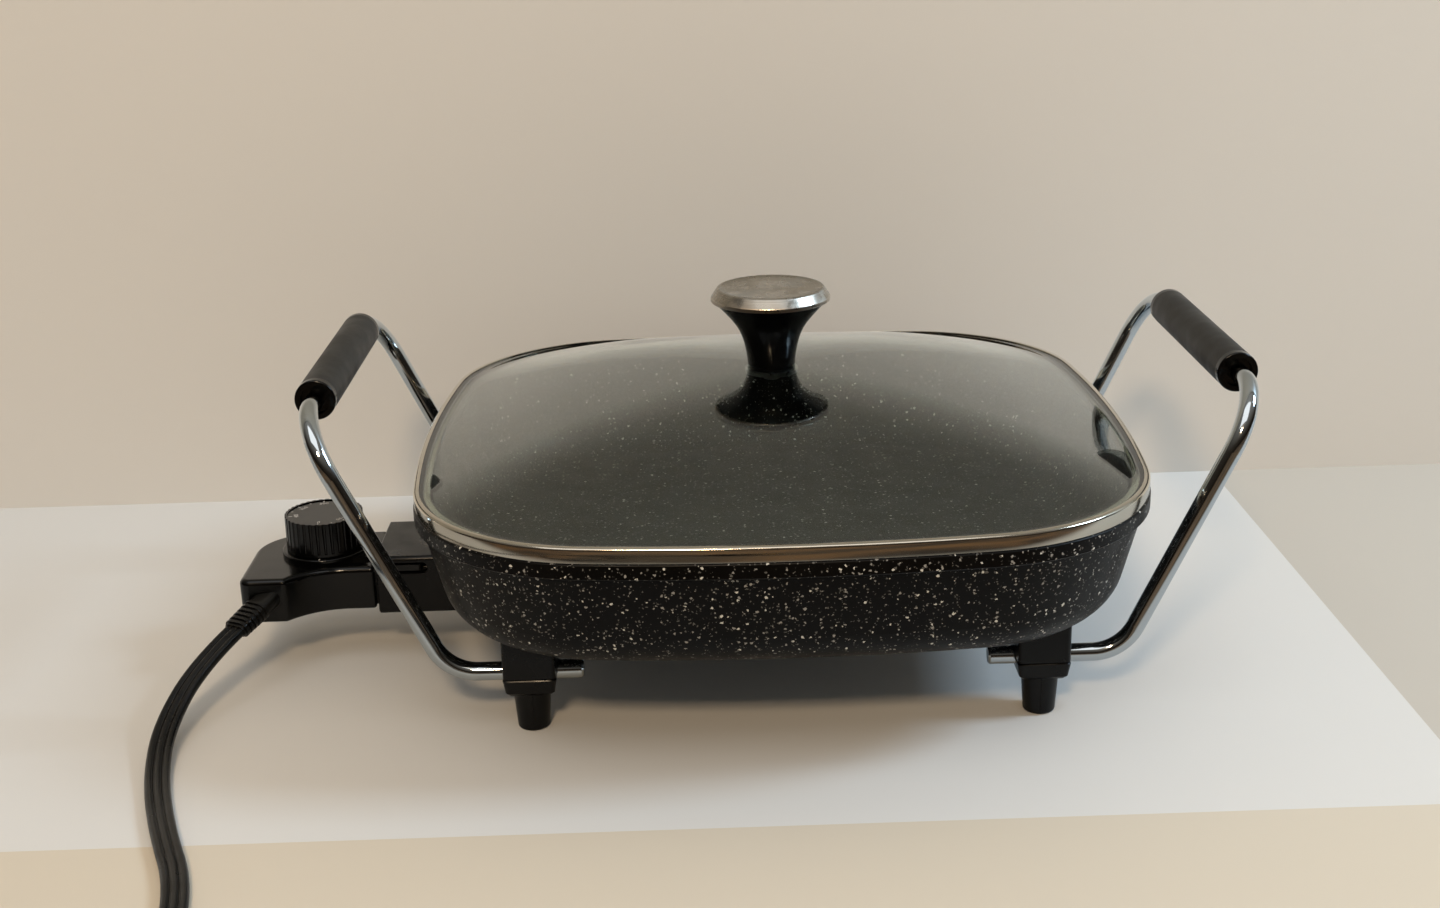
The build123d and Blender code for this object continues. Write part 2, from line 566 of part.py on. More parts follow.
for end_name, end in ENDS.items():
    for side_name, side in SIDES.items():
        # the half-round seats of the handle rod, at the seam of bracket and foot
        with BuildPart() as rod_seat:
            with BuildSketch(facing_x(side * LEG_X, end * LEG_Y, ROD_Z)):
                Circle(ROD_DIAMETER / 2)
            extrude(amount=LEG_WIDTH, both=True)

        with BuildPart() as leg_bracket:
            with BuildSketch(leg_level(side, end, ROD_Z)):
                RectangleRounded(LEG_WIDTH, LEG_WIDTH, LEG_CORNER)
            extrude(amount=LEG_BRACKET_HEIGHT)
            chamfer(at_height(leg_bracket.edges(), ROD_Z), LEG_EDGE)
            with BuildSketch(leg_level(side, end, ROD_Z)):
                Circle(SCREW_HOLE_DIAMETER / 2)
            extrude(amount=LEG_BRACKET_HEIGHT, mode=Mode.SUBTRACT)
            with BuildSketch(leg_level(side, end, PAN_FLOOR_Z - PAD_DEPTH)):
                Circle(PAD_DIAMETER / 2 + PAD_CLEARANCE)
            extrude(amount=PAD_DEPTH, mode=Mode.SUBTRACT)
            add(rod_seat.part, mode=Mode.SUBTRACT)
        finish(leg_bracket, f"leg_bracket_{end_name}_{side_name}")

        with BuildPart() as foot:
            with BuildSketch(leg_level(side, end, shoe_bottom_z)):
                RectangleRounded(SHOE_BOTTOM_WIDTH, SHOE_BOTTOM_WIDTH, LEG_CORNER)
            with BuildSketch(leg_level(side, end, ROD_Z)):
                RectangleRounded(shoe_top_width, shoe_top_width, LEG_CORNER)
            loft()
            chamfer(at_height(foot.edges(), shoe_bottom_z), SHOE_CHAMFER)
            chamfer(at_height(foot.edges(), ROD_Z), LEG_EDGE)
            with BuildSketch(leg_level(side, end, 0)):
                Circle(POST_BOTTOM_DIAMETER / 2)
            with BuildSketch(leg_level(side, end, shoe_bottom_z)):
                Circle(POST_TOP_DIAMETER / 2)
            loft()
            fillet(at_height(foot.edges(), 0), POST_EDGE)
            with BuildSketch(leg_level(side, end, POST_EDGE)):
                Rectangle(MOULD_RIDGE_WIDTH, POST_BOTTOM_DIAMETER + 2 * MOULD_RIDGE)
            with BuildSketch(leg_level(side, end, shoe_bottom_z)):
                Rectangle(MOULD_RIDGE_WIDTH, POST_TOP_DIAMETER + 2 * MOULD_RIDGE)
            loft()
            with BuildSketch(leg_level(side, end, 0)):
                Circle(SCREW_RECESS_DIAMETER / 2)
            extrude(amount=SCREW_RECESS_DEPTH, mode=Mode.SUBTRACT)
            with BuildSketch(leg_level(side, end, SCREW_RECESS_DEPTH)):
                Circle(SCREW_HOLE_DIAMETER / 2)
            extrude(amount=ROD_Z - SCREW_RECESS_DEPTH, mode=Mode.SUBTRACT)
            add(rod_seat.part, mode=Mode.SUBTRACT)
        finish(foot, f"foot_{end_name}_{side_name}")

upright_screws(
    "leg_screws",
    leg_places,
    SCREW_RECESS_DEPTH,
    SCREW_HEAD_DIAMETER,
    SCREW_HEAD_HEIGHT,
    SCREW_DIAMETER,
    PAN_FLOOR_Z + SCREW_BITE - SCREW_RECESS_DEPTH,
)

# ---------------------------------------------------------------- handles
sleeve_length = GRIP_LENGTH - 2 * CAP_LENGTH
sleeve_bore = GRIP_DIAMETER - 2 * GRIP_WALL
stub_x = LEG_X - ROD_STUB

for side_name, side in SIDES.items():
    bends = ((stub_x, ROD_Z), (LEG_X + ROD_KNEE, ROD_Z), (HANDLE_X, HANDLE_Z))
    rod_path = FilletPolyline(
        *[place(side * x, -LEG_Y, z) for x, z in bends],
        *[place(side * x, LEG_Y, z) for x, z in reversed(bends)],
        radius=[KNEE_RADIUS, SHOULDER_RADIUS, SHOULDER_RADIUS, KNEE_RADIUS],
    )
    with BuildPart() as handle_rod:
        with BuildSketch(facing_x(side * stub_x, -LEG_Y, ROD_Z)):
            Circle(ROD_DIAMETER / 2)
        sweep(path=rod_path)
        chamfer(handle_rod.edges().group_by(Axis.X)[0 if side > 0 else -1], ROD_END_EDGE)
        for end in ENDS.values():
            with BuildSketch(leg_level(side, end, ROD_Z)):
                Circle(SCREW_HOLE_DIAMETER / 2)
            extrude(amount=ROD_DIAMETER, both=True, mode=Mode.SUBTRACT)
    finish(handle_rod, f"handle_rod_{side_name}")

    with BuildPart() as grip_sleeve:
        with BuildSketch(facing_y(side * HANDLE_X, sleeve_length / 2, HANDLE_Z)):
            Circle(GRIP_DIAMETER / 2)
            Circle(sleeve_bore / 2, mode=Mode.SUBTRACT)
        extrude(amount=sleeve_length)
    finish(grip_sleeve, f"grip_sleeve_{side_name}")

    for end_name, end in ENDS.items():
        with BuildPart() as grip_cap:
            with BuildSketch(facing_y(side * HANDLE_X, end * sleeve_length / 2, HANDLE_Z)):
                Circle(GRIP_DIAMETER / 2)
            extrude(amount=-end * CAP_LENGTH)
            fillet(grip_cap.edges().sort_by(Axis.Y)[-1 if end > 0 else 0], GRIP_EDGE)
            with BuildSketch(facing_y(side * HANDLE_X, end * GRIP_LENGTH / 2, HANDLE_Z)):
                Circle(CAP_RECESS_DIAMETER / 2)
            extrude(amount=end * CAP_RECESS_DEPTH, mode=Mode.SUBTRACT)
            with BuildSketch(facing_y(side * HANDLE_X, end * sleeve_length / 2, HANDLE_Z)):
                Circle(sleeve_bore / 2 - CAP_CLEARANCE)
            extrude(amount=end * CAP_SPIGOT_LENGTH)
            with BuildSketch(facing_y(side * HANDLE_X, end * sleeve_length / 2, HANDLE_Z)):
                Circle(ROD_DIAMETER / 2)
            extrude(amount=GRIP_LENGTH / 2, both=True, mode=Mode.SUBTRACT)
        finish(grip_cap, f"grip_cap_{side_name}_{end_name}")

# ---------------------------------------------------------------- lid
band_bottom_z = RIM_Z + LID_GAP
band_top_z = band_bottom_z + BAND_HEIGHT
leg_inset = lip_width + BAND_LEG_GAP
glass_inset = BAND_INSET + BAND_WALL
glass_half = RIM_HALF - glass_inset
glass_edge_z = band_top_z - BAND_WALL
crown_step = (glass_half - KNOB_SEAT_RADIUS - GLASS_CONE) / GLASS_CROWN_STEPS
glass_stations = [
    GLASS_FLAT,
    (GLASS_FLAT + GLASS_CONE) / 2,
    *[GLASS_CONE + crown_step * count for count in range(GLASS_CROWN_STEPS + 1)],
]

with BuildPart() as lid_band:
    with BuildSketch(level(band_bottom_z)):
        add(soft_square(BAND_INSET))
    extrude(amount=BAND_HEIGHT)
    fillet(at_height(lid_band.edges(), band_top_z), BAND_EDGE)
    with BuildSketch(level(band_bottom_z + BAND_WALL)):
        add(soft_square(BAND_INSET + BAND_WALL))
    extrude(amount=BAND_HEIGHT - 2 * BAND_WALL, mode=Mode.SUBTRACT)
    with BuildSketch(level(band_bottom_z + BAND_WALL)):
        add(soft_square(BAND_INSET + BAND_LIP))
    extrude(amount=BAND_HEIGHT, mode=Mode.SUBTRACT)
    with BuildSketch(level(band_bottom_z - BAND_LEG_DEPTH)):
        add(soft_square(leg_inset))
    extrude(amount=BAND_LEG_DEPTH)
    with BuildSketch(level(band_bottom_z - BAND_LEG_DEPTH)):
        add(soft_square(leg_inset + BAND_WALL))
    extrude(amount=BAND_LEG_DEPTH + BAND_WALL, mode=Mode.SUBTRACT)
finish(lid_band, "lid_band")

with BuildPart() as lid_seal:
    with BuildSketch(level(band_bottom_z + BAND_WALL)):
        add(soft_square(glass_inset))
        add(soft_square(BAND_INSET + BAND_LIP), mode=Mode.SUBTRACT)
    extrude(amount=BAND_HEIGHT - 2 * BAND_WALL - GLASS_THICKNESS)
finish(lid_seal, "lid_seal")


def glass_top(inward):
    """Height of the glass's upper face, so far in from its edge: flat, a cone, then a crown."""
    crowned = max(inward - GLASS_CONE, 0)
    crown_reach = glass_half - GLASS_CONE
    return glass_edge_z + GLASS_SLOPE * (inward - GLASS_FLAT - crowned**2 / (2 * crown_reach))


def dome(drop):
    """The space under the glass's upper face, with that face lowered by drop."""
    with BuildPart() as solid:
        for inward in glass_stations:
            with BuildSketch(level(glass_top(inward) - drop)):
                add(soft_square(glass_inset, scale=1 - inward / glass_half))
        loft()
    return solid.part


with BuildPart() as lid_glass:
    with BuildSketch(level(glass_edge_z - GLASS_THICKNESS)):
        add(soft_square(glass_inset))
    extrude(amount=GLASS_THICKNESS)
    fillet(at_height(lid_glass.edges(), glass_edge_z), BAND_EDGE - BAND_WALL)
    add(dome(0))
    add(dome(GLASS_THICKNESS), mode=Mode.SUBTRACT)
    with BuildSketch(level(band_bottom_z)):
        Circle(KNOB_HOLE_DIAMETER / 2)
    extrude(amount=glass_half, mode=Mode.SUBTRACT)
finish(lid_glass, "lid_glass")

# ---------------------------------------------------------------- knob
knob_z = glass_top(glass_stations[-1])
knob_plane = facing_y(0, 0, knob_z)
knob_axis = Axis(place(0, 0, 0), (0, 0, 1))
knob_bore = KNOB_SCREW_DIAMETER / 2
gasket_top_z = glass_top(glass_half - GASKET_DIAMETER / 2) - GLASS_THICKNESS - GASKET_GAP
washer_top_z = gasket_top_z - GASKET_THICKNESS

with BuildPart() as knob_stem:
    with BuildSketch(knob_plane):
        with BuildLine():
            Spline(
                (STEM_BASE_RADIUS, 0),
                *STEM_CURVE,
                (STEM_RIM_RADIUS, STEM_RIM_Z),
                tangents=((0, 1), (1, 1)),
            )
            Polyline(
                (STEM_RIM_RADIUS, STEM_RIM_Z),
                (STEM_RIM_RADIUS, STEM_SHOULDER_Z),
                (STEM_TOP_RADIUS, STEM_TOP_Z),
                (knob_bore, STEM_TOP_Z),
                (knob_bore, 0),
                (STEM_BASE_RADIUS, 0),
            )
        make_face()
        with BuildLine():
            Polyline(
                (STEM_BOSS_RADIUS, STEM_CORE_Z),
                (STEM_CORE_FOOT_RADIUS, STEM_CORE_Z),
                (STEM_CORE_RADIUS, STEM_TOP_Z),
                (knob_bore, STEM_TOP_Z),
                (knob_bore, STEM_BOSS_Z),
                (STEM_BOSS_RADIUS, STEM_BOSS_Z),
                close=True,
            )
        make_face(mode=Mode.SUBTRACT)
    revolve(axis=knob_axis)
finish(knob_stem, "knob_stem")


def dished(radius, edge_radius):
    """Height of the cap's sunk top at a radius, from the top of the glass."""
    return CAP_TOP_Z - CAP_DISH * (1 - (radius / edge_radius) ** 2)


with BuildPart() as knob_cap:
    rim, top = CAP_DIAMETER / 2, CAP_TOP_DIAMETER / 2
    with BuildSketch(knob_plane):
        with BuildLine():
            Polyline((0, dished(0, top) - CAP_WALL), (0, dished(0, top)))
            ThreePointArc((0, dished(0, top)), (top / 2, dished(top / 2, top)), (top, CAP_TOP_Z))
            Polyline(
                (top, CAP_TOP_Z),
                (rim, CAP_BEVEL_Z),
                (rim, CAP_BOTTOM_Z),
                (rim - CAP_WALL, CAP_BOTTOM_Z),
                (rim - CAP_WALL, CAP_BEVEL_Z),
                (top - CAP_WALL, dished(0, top) - CAP_WALL),
                (0, dished(0, top) - CAP_WALL),
            )
        make_face()
    revolve(axis=knob_axis)
    for z in (CAP_TOP_Z, CAP_BEVEL_Z):
        outer_edge = at_height(knob_cap.edges(), knob_z + z).sort_by(SortBy.RADIUS)[-1]
        fillet(outer_edge, CAP_ROUND)
finish(knob_cap, "knob_cap")

upright_screws(
    "knob_screw",
    [(0, 0)],
    washer_top_z - WASHER_THICKNESS,
    KNOB_SCREW_HEAD_DIAMETER,
    KNOB_SCREW_HEAD_HEIGHT,
    KNOB_SCREW_DIAMETER,
    knob_z + KNOB_SCREW_REACH - washer_top_z + WASHER_THICKNESS,
)

for name, z, diameter, thickness in (
    ("knob_washer", washer_top_z - WASHER_THICKNESS, WASHER_DIAMETER, WASHER_THICKNESS),
    ("knob_gasket", washer_top_z, GASKET_DIAMETER, GASKET_THICKNESS),
):
    with BuildPart() as ring:
        with BuildSketch(level(z)):
            Circle(diameter / 2)
            Circle(KNOB_SCREW_DIAMETER / 2, mode=Mode.SUBTRACT)
        extrude(amount=thickness)
    finish(ring, name)

# ---------------------------------------------------------------- heat control
nose_middle_z = (NOSE_LOW_Z + NOSE_HIGH_Z) / 2
nose_floor_z = NOSE_LOW_Z + CONTROL_WALL
nose_roof_z = NOSE_HIGH_Z - CONTROL_WALL
case_floor_z = CONTROL_BOTTOM_Z + CONTROL_WALL
block_back_x = SOCKET_FRONT_X + SOCKET_LENGTH
probe_back_x = block_back_x + PROBE_TAIL
block_half_width = NOSE_HALF_WIDTH - CONTROL_WALL - BLOCK_SIDE_GAP
relief_plane = Plane(
    origin=place(*RELIEF_ROOT),
    x_dir=(RELIEF_DIRECTION[1], -RELIEF_DIRECTION[0], 0),
    z_dir=RELIEF_DIRECTION,
)


def case_plan(inset):
    """The control's outline from above, moved inwards."""
    with BuildSketch() as plan:
        with BuildLine():
            FilletPolyline(
                (-CONTROL_FRONT_X, -CONTROL_HALF_WIDTH),
                (-CONTROL_WAIST_X, -CONTROL_HALF_WIDTH),
                (-CONTROL_FLARE_X, -CONTROL_FLARE_Y),
                (-CONTROL_BACK_X, -CONTROL_FLARE_Y),
                (-CONTROL_BACK_X, CONTROL_HALF_WIDTH),
                (-CONTROL_FRONT_X, CONTROL_HALF_WIDTH),
                radius=CONTROL_CORNERS,
                close=True,
            )
        make_face()
        if inset:
            offset(amount=-inset, mode=Mode.REPLACE)
    return plan.sketch


with BuildPart() as control_case:
    with BuildSketch(level(CONTROL_BOTTOM_Z)):
        add(case_plan(0))
    extrude(amount=CONTROL_TOP_Z - CONTROL_BOTTOM_Z)
    fillet(at_height(control_case.edges(), CONTROL_TOP_Z), CONTROL_TOP_EDGE)
    fillet(at_height(control_case.edges(), CONTROL_BOTTOM_Z), CONTROL_BOTTOM_EDGE)
    # the nose that goes into the guard, with its guide ribs
    nose_length = CONTROL_FRONT_X + CONTROL_WALL - NOSE_END_X
    with BuildSketch(facing_x(-NOSE_END_X, 0, nose_middle_z)):
        RectangleRounded(2 * NOSE_HALF_WIDTH, NOSE_HIGH_Z - NOSE_LOW_Z, NOSE_CORNER)
    extrude(amount=-nose_length)
    rib_length = CONTROL_FRONT_X - NOSE_RIB_END_X
    rib_half_width = NOSE_HALF_WIDTH + NOSE_RIB_REACH
    with BuildSketch(level(NOSE_RIB_LOW_Z)):
        for end in ENDS.values():
            with Locations((-CONTROL_FRONT_X, end * (rib_half_width - NOSE_RIB_REACH))):
                SlotOverall(2 * rib_length, 2 * NOSE_RIB_REACH)
        with Locations((-CONTROL_FRONT_X - rib_length, 0)):
            Rectangle(2 * rib_length, 2 * rib_half_width, mode=Mode.SUBTRACT)
    extrude(amount=NOSE_RIB_HEIGHT)
    # the collar under the dial and the neck from it to the guard
    with BuildSketch(level(CONTROL_TOP_Z - CONTROL_WALL)):
        with Locations((-DIAL_X, 0)):
            Circle(COLLAR_DIAMETER / 2)
    extrude(amount=COLLAR_TOP_Z - CONTROL_TOP_Z + CONTROL_WALL)
    fillet(at_height(control_case.edges(), COLLAR_TOP_Z), COLLAR_EDGE)
    neck_length = DIAL_X - CONTROL_FRONT_X
    with BuildSketch(level(CONTROL_TOP_Z - CONTROL_WALL)):
        with Locations((-DIAL_X + neck_length / 2, 0)):
            Rectangle(neck_length, 2 * NECK_HALF_WIDTH)
    extrude(amount=NECK_TOP_Z - CONTROL_TOP_Z + CONTROL_WALL)
    # the hollow
    with BuildSketch(level(case_floor_z)):
        add(case_plan(CONTROL_WALL))
    extrude(amount=CONTROL_TOP_Z - CONTROL_WALL - case_floor_z, mode=Mode.SUBTRACT)
    with BuildSketch(facing_x(-NOSE_END_X - CONTROL_WALL, 0, nose_middle_z)):
        Rectangle(2 * (NOSE_HALF_WIDTH - CONTROL_WALL), nose_roof_z - nose_floor_z)
    extrude(amount=-nose_length, mode=Mode.SUBTRACT)
    # posts for the screws
    with BuildSketch(level(case_floor_z)):
        with Locations(*CASE_POSTS):
            Circle(CASE_POST_DIAMETER / 2)
    extrude(amount=CONTROL_TOP_Z - CONTROL_WALL - case_floor_z)
    with BuildSketch(level(CONTROL_BOTTOM_Z)):
        with Locations(*CASE_POSTS):
            Circle(CASE_SCREW_HEAD / 2)
    extrude(amount=CASE_SCREW_RECESS, mode=Mode.SUBTRACT)
    with BuildSketch(level(CONTROL_BOTTOM_Z)):
        with Locations(*CASE_POSTS):
            Circle(CASE_SCREW_DIAMETER / 2)
    extrude(amount=CASE_SCREW_RECESS + CASE_SCREW_LENGTH, mode=Mode.SUBTRACT)
    # openings for the shaft, the pins, the probe and the strain relief
    with BuildSketch(level(CONTROL_SPLIT_Z)):
        with Locations((-DIAL_X, 0)):
            Circle(SHAFT_DIAMETER / 2 + SHAFT_CLEARANCE)
    extrude(amount=COLLAR_TOP_Z - CONTROL_SPLIT_Z, mode=Mode.SUBTRACT)
    with BuildSketch(facing_x(-NOSE_END_X, 0, ELEMENT_Z)):
        Circle(PROBE_DIAMETER / 2)
        with GridLocations(PIN_PITCH, 1, 2, 1):
            Circle(PIN_DOOR_DIAMETER / 2)
    extrude(amount=-CONTROL_WALL, mode=Mode.SUBTRACT)
    with BuildSketch(relief_plane):
        SlotOverall(*RELIEF_ROOT_SIZE)
    extrude(amount=RELIEF_INSIDE, both=True, mode=Mode.SUBTRACT)

for name, keep in (("control_top_case", Keep.TOP), ("control_bottom_case", Keep.BOTTOM)):
    with BuildPart() as half:
        add(control_case.part)
        split(bisect_by=level(CONTROL_SPLIT_Z), keep=keep)
    finish(half, name)

upright_screws(
    "case_screws",
    CASE_POSTS,
    CONTROL_BOTTOM_Z + CASE_SCREW_RECESS,
    CASE_SCREW_HEAD,
    CASE_SCREW_HEAD_HEIGHT,
    CASE_SCREW_DIAMETER,
    CASE_SCREW_LENGTH,
)

with BuildPart() as dial:
    flute_length = DIAL_HEIGHT - DIAL_SKIRT_HEIGHT
    face_radius = DIAL_DIAMETER / 2 - flute_length * tan(radians(DIAL_DRAFT)) - DIAL_FACE_EDGE
    with BuildSketch(level(DIAL_BOTTOM_Z)):
        with Locations((-DIAL_X, 0)):
            Circle(DIAL_DIAMETER / 2)
    extrude(amount=DIAL_SKIRT_HEIGHT)
    with BuildSketch(level(DIAL_BOTTOM_Z + DIAL_SKIRT_HEIGHT)):
        with Locations((-DIAL_X, 0)):
            Circle(DIAL_DIAMETER / 2)
            with PolarLocations(DIAL_DIAMETER / 2, DIAL_FLUTES):
                Circle(DIAL_FLUTE_DIAMETER / 2, mode=Mode.SUBTRACT)
    extrude(amount=flute_length, taper=DIAL_DRAFT)
    with BuildSketch(level(DIAL_TOP_Z, up=False)):
        with Locations((-DIAL_X, 0)):
            Circle(face_radius)
    extrude(amount=DIAL_FACE_DEPTH, mode=Mode.SUBTRACT)
    with BuildSketch(level(DIAL_BOTTOM_Z)):
        with Locations((-DIAL_X, 0)):
            Circle(SHAFT_DIAMETER / 2)
    extrude(amount=SHAFT_TOP_Z - DIAL_BOTTOM_Z, mode=Mode.SUBTRACT)
finish(dial, "dial")

with BuildPart() as dial_shaft:
    with BuildSketch(level(SHAFT_BOTTOM_Z)):
        with Locations((-DIAL_X, 0)):
            Circle(SHAFT_DIAMETER / 2)
    extrude(amount=SHAFT_TOP_Z - SHAFT_BOTTOM_Z)
finish(dial_shaft, "dial_shaft")

with BuildPart() as probe_tube:
    with BuildSketch(facing_x(-probe_back_x, 0, ELEMENT_Z)):
        Circle(PROBE_DIAMETER / 2)
    extrude(amount=probe_back_x - PROBE_TIP_X)
    fillet(probe_tube.edges().group_by(Axis.X)[-1], PROBE_BORE_DIAMETER / 2)
    with BuildSketch(facing_x(-probe_back_x, 0, ELEMENT_Z)):
        Circle(PROBE_BORE_DIAMETER / 2)
    extrude(amount=probe_back_x - PROBE_TIP_X - PROBE_TIP_WALL, mode=Mode.SUBTRACT)
finish(probe_tube, "probe_tube")

with BuildPart() as contact_sockets:
    with BuildSketch(facing_x(-block_back_x, 0, ELEMENT_Z)):
        with GridLocations(PIN_PITCH, 1, 2, 1):
            Circle(SOCKET_DIAMETER / 2)
            Circle(PIN_DIAMETER / 2 + PIN_CLEARANCE, mode=Mode.SUBTRACT)
    extrude(amount=SOCKET_LENGTH)
finish(contact_sockets, "contact_sockets")

with BuildPart() as thermostat_block:
    with BuildSketch(facing_x(-block_back_x, 0, ELEMENT_Z)):
        with Locations((0, nose_middle_z - ELEMENT_Z)):
            Rectangle(2 * block_half_width, nose_roof_z - nose_floor_z)
        Circle(PROBE_DIAMETER / 2, mode=Mode.SUBTRACT)
        with GridLocations(PIN_PITCH, 1, 2, 1):
            Circle(SOCKET_DIAMETER / 2, mode=Mode.SUBTRACT)
    extrude(amount=BLOCK_LENGTH)
finish(thermostat_block, "thermostat_block")

with BuildPart() as thermostat_bracket:
    with BuildSketch(facing_y(-block_back_x, BRACKET_WIDTH / 2, nose_floor_z)):
        with Locations((-BRACKET_LENGTH / 2, BRACKET_THICKNESS / 2)):
            Rectangle(BRACKET_LENGTH, BRACKET_THICKNESS)
        with Locations((-BRACKET_THICKNESS / 2, BRACKET_HEIGHT / 2)):
            Rectangle(BRACKET_THICKNESS, BRACKET_HEIGHT)
    extrude(amount=BRACKET_WIDTH)
    with BuildSketch(facing_x(-block_back_x, 0, ELEMENT_Z)):
        Circle(PROBE_DIAMETER / 2)
    extrude(amount=-BRACKET_THICKNESS, mode=Mode.SUBTRACT)
finish(thermostat_bracket, "thermostat_bracket")

with BuildPart() as bimetal_blade:
    blade_top_z = SHAFT_BOTTOM_Z - BIMETAL_GAP
    blade_foot_z = nose_floor_z + BRACKET_THICKNESS
    bracket_end_x = block_back_x + BRACKET_LENGTH
    bimetal_length = bracket_end_x - probe_back_x - BIMETAL_PROBE_GAP
    with BuildSketch(facing_y(-bracket_end_x, BIMETAL_WIDTH / 2, blade_foot_z)):
        with Locations((BIMETAL_THICKNESS / 2, (blade_top_z - blade_foot_z) / 2)):
            Rectangle(BIMETAL_THICKNESS, blade_top_z - blade_foot_z)
        with Locations((bimetal_length / 2, blade_top_z - blade_foot_z - BIMETAL_THICKNESS / 2)):
            Rectangle(bimetal_length, BIMETAL_THICKNESS)
    extrude(amount=BIMETAL_WIDTH)
finish(bimetal_blade, "bimetal_blade")

with BuildPart() as contact_blades:
    with BuildSketch(facing_x(-block_back_x, 0, ELEMENT_Z)):
        with GridLocations(CONTACT_PITCH, 1, 2, 1):
            Rectangle(CONTACT_WIDTH, CONTACT_THICKNESS)
    extrude(amount=-CONTACT_LENGTH)
finish(contact_blades, "contact_blades")

# ---------------------------------------------------------------- strain relief
with BuildPart() as strain_relief:
    with BuildSketch(relief_plane.offset(-RELIEF_INSIDE)):
        SlotOverall(*RELIEF_ROOT_SIZE)
    extrude(amount=RELIEF_INSIDE)
    with BuildSketch(relief_plane):
        SlotOverall(*RELIEF_ROOT_SIZE)
    with BuildSketch(relief_plane.offset(RELIEF_LENGTH)):
        SlotOverall(*RELIEF_TIP_SIZE)
    loft()
    pitch = (RELIEF_LENGTH - RELIEF_RIB_START) / RELIEF_RIBS
    for count in range(RELIEF_RIBS):
        along = RELIEF_RIB_START + pitch * count
        share = along / RELIEF_LENGTH
        size = [
            root + (tip - root) * share + 2 * RELIEF_RIB_REACH
            for root, tip in zip(RELIEF_ROOT_SIZE, RELIEF_TIP_SIZE)
        ]
        with BuildSketch(relief_plane.offset(along)):
            SlotOverall(*size)
        extrude(amount=RELIEF_RIB_LENGTH)
finish(strain_relief, "strain_relief")

# ---------------------------------------------------------------- coil, tie, plug and cord
coil_centre = Vector(*COIL_CENTRE)
coil_outer = COIL_RADIUS + COIL_SECTION / 2

with BuildPart() as cord_coil:
    with BuildSketch(level(COIL_LIFT)):
        with Locations(COIL_CENTRE):
            Circle(coil_outer)
            Circle(coil_outer - COIL_SECTION, mode=Mode.SUBTRACT)
    extrude(amount=COIL_HEIGHT)
    fillet(cord_coil.edges().filter_by(GeomType.CIRCLE), COIL_EDGE)
finish(cord_coil, "cord_coil")

with BuildPart() as cord_tie:
    outwards = Vector(cos(radians(TIE_ANGLE)), sin(radians(TIE_ANGLE)))
    middle = coil_centre + outwards * COIL_RADIUS
    tie_plane = Plane(
        origin=place(middle.X, middle.Y, COIL_LIFT + COIL_HEIGHT / 2),
        x_dir=outwards,
        z_dir=(outwards.Y, -outwards.X, 0),
    )
    with BuildSketch(tie_plane):
        RectangleRounded(
            COIL_SECTION + 2 * (TIE_EASE + TIE_THICKNESS), COIL_HEIGHT + 2 * TIE_THICKNESS, TIE_EDGE
        )
        Rectangle(COIL_SECTION + 2 * TIE_EASE, COIL_HEIGHT, mode=Mode.SUBTRACT)
    extrude(amount=TIE_WIDTH / 2, both=True)
finish(cord_tie, "cord_tie")

plug_plane = Plane(origin=place(*TAIL_ROUTE[-1]), x_dir=(0, 1, 0), z_dir=(1, 0, 0))

with BuildPart() as plug_blades:
    with BuildSketch(plug_plane.offset(PLUG_LENGTH - BLADE_ROOT)):
        with Locations((-BLADE_OFFSET, -BLADE_PITCH / 2), (-BLADE_OFFSET, BLADE_PITCH / 2)):
            Rectangle(BLADE_WIDTH, BLADE_THICKNESS)
    extrude(amount=BLADE_ROOT + BLADE_LENGTH)
finish(plug_blades, "plug_blades")

with BuildPart() as plug_ground_pin:
    with BuildSketch(plug_plane.offset(PLUG_LENGTH - BLADE_ROOT)):
        with Locations((GROUND_PIN_OFFSET - BLADE_OFFSET, 0)):
            Circle(GROUND_PIN_DIAMETER / 2)
    extrude(amount=BLADE_ROOT + GROUND_PIN_LENGTH)
    fillet(plug_ground_pin.edges().group_by(Axis.X)[-1], GROUND_PIN_TIP)
finish(plug_ground_pin, "plug_ground_pin")

with BuildPart() as plug_body:
    with BuildSketch(plug_plane):
        RectangleRounded(
            CORD_WIDTH + 2 * PLUG_TAIL_WALL, CORD_THICKNESS + 2 * PLUG_TAIL_WALL, CORD_THICKNESS / 2
        )
    with BuildSketch(plug_plane.offset(PLUG_TAIL)):
        RectangleRounded(PLUG_WIDTH, PLUG_HEIGHT, PLUG_CORNER)
    loft()
    with BuildSketch(plug_plane.offset(PLUG_TAIL)):
        RectangleRounded(PLUG_WIDTH, PLUG_HEIGHT, PLUG_CORNER)
    extrude(amount=PLUG_LENGTH - PLUG_TAIL)
    fillet(plug_body.faces().sort_by(Axis.X)[-1].edges(), PLUG_EDGE)
    add(plug_blades.part, mode=Mode.SUBTRACT)
    add(plug_ground_pin.part, mode=Mode.SUBTRACT)
finish(plug_body, "plug_body")


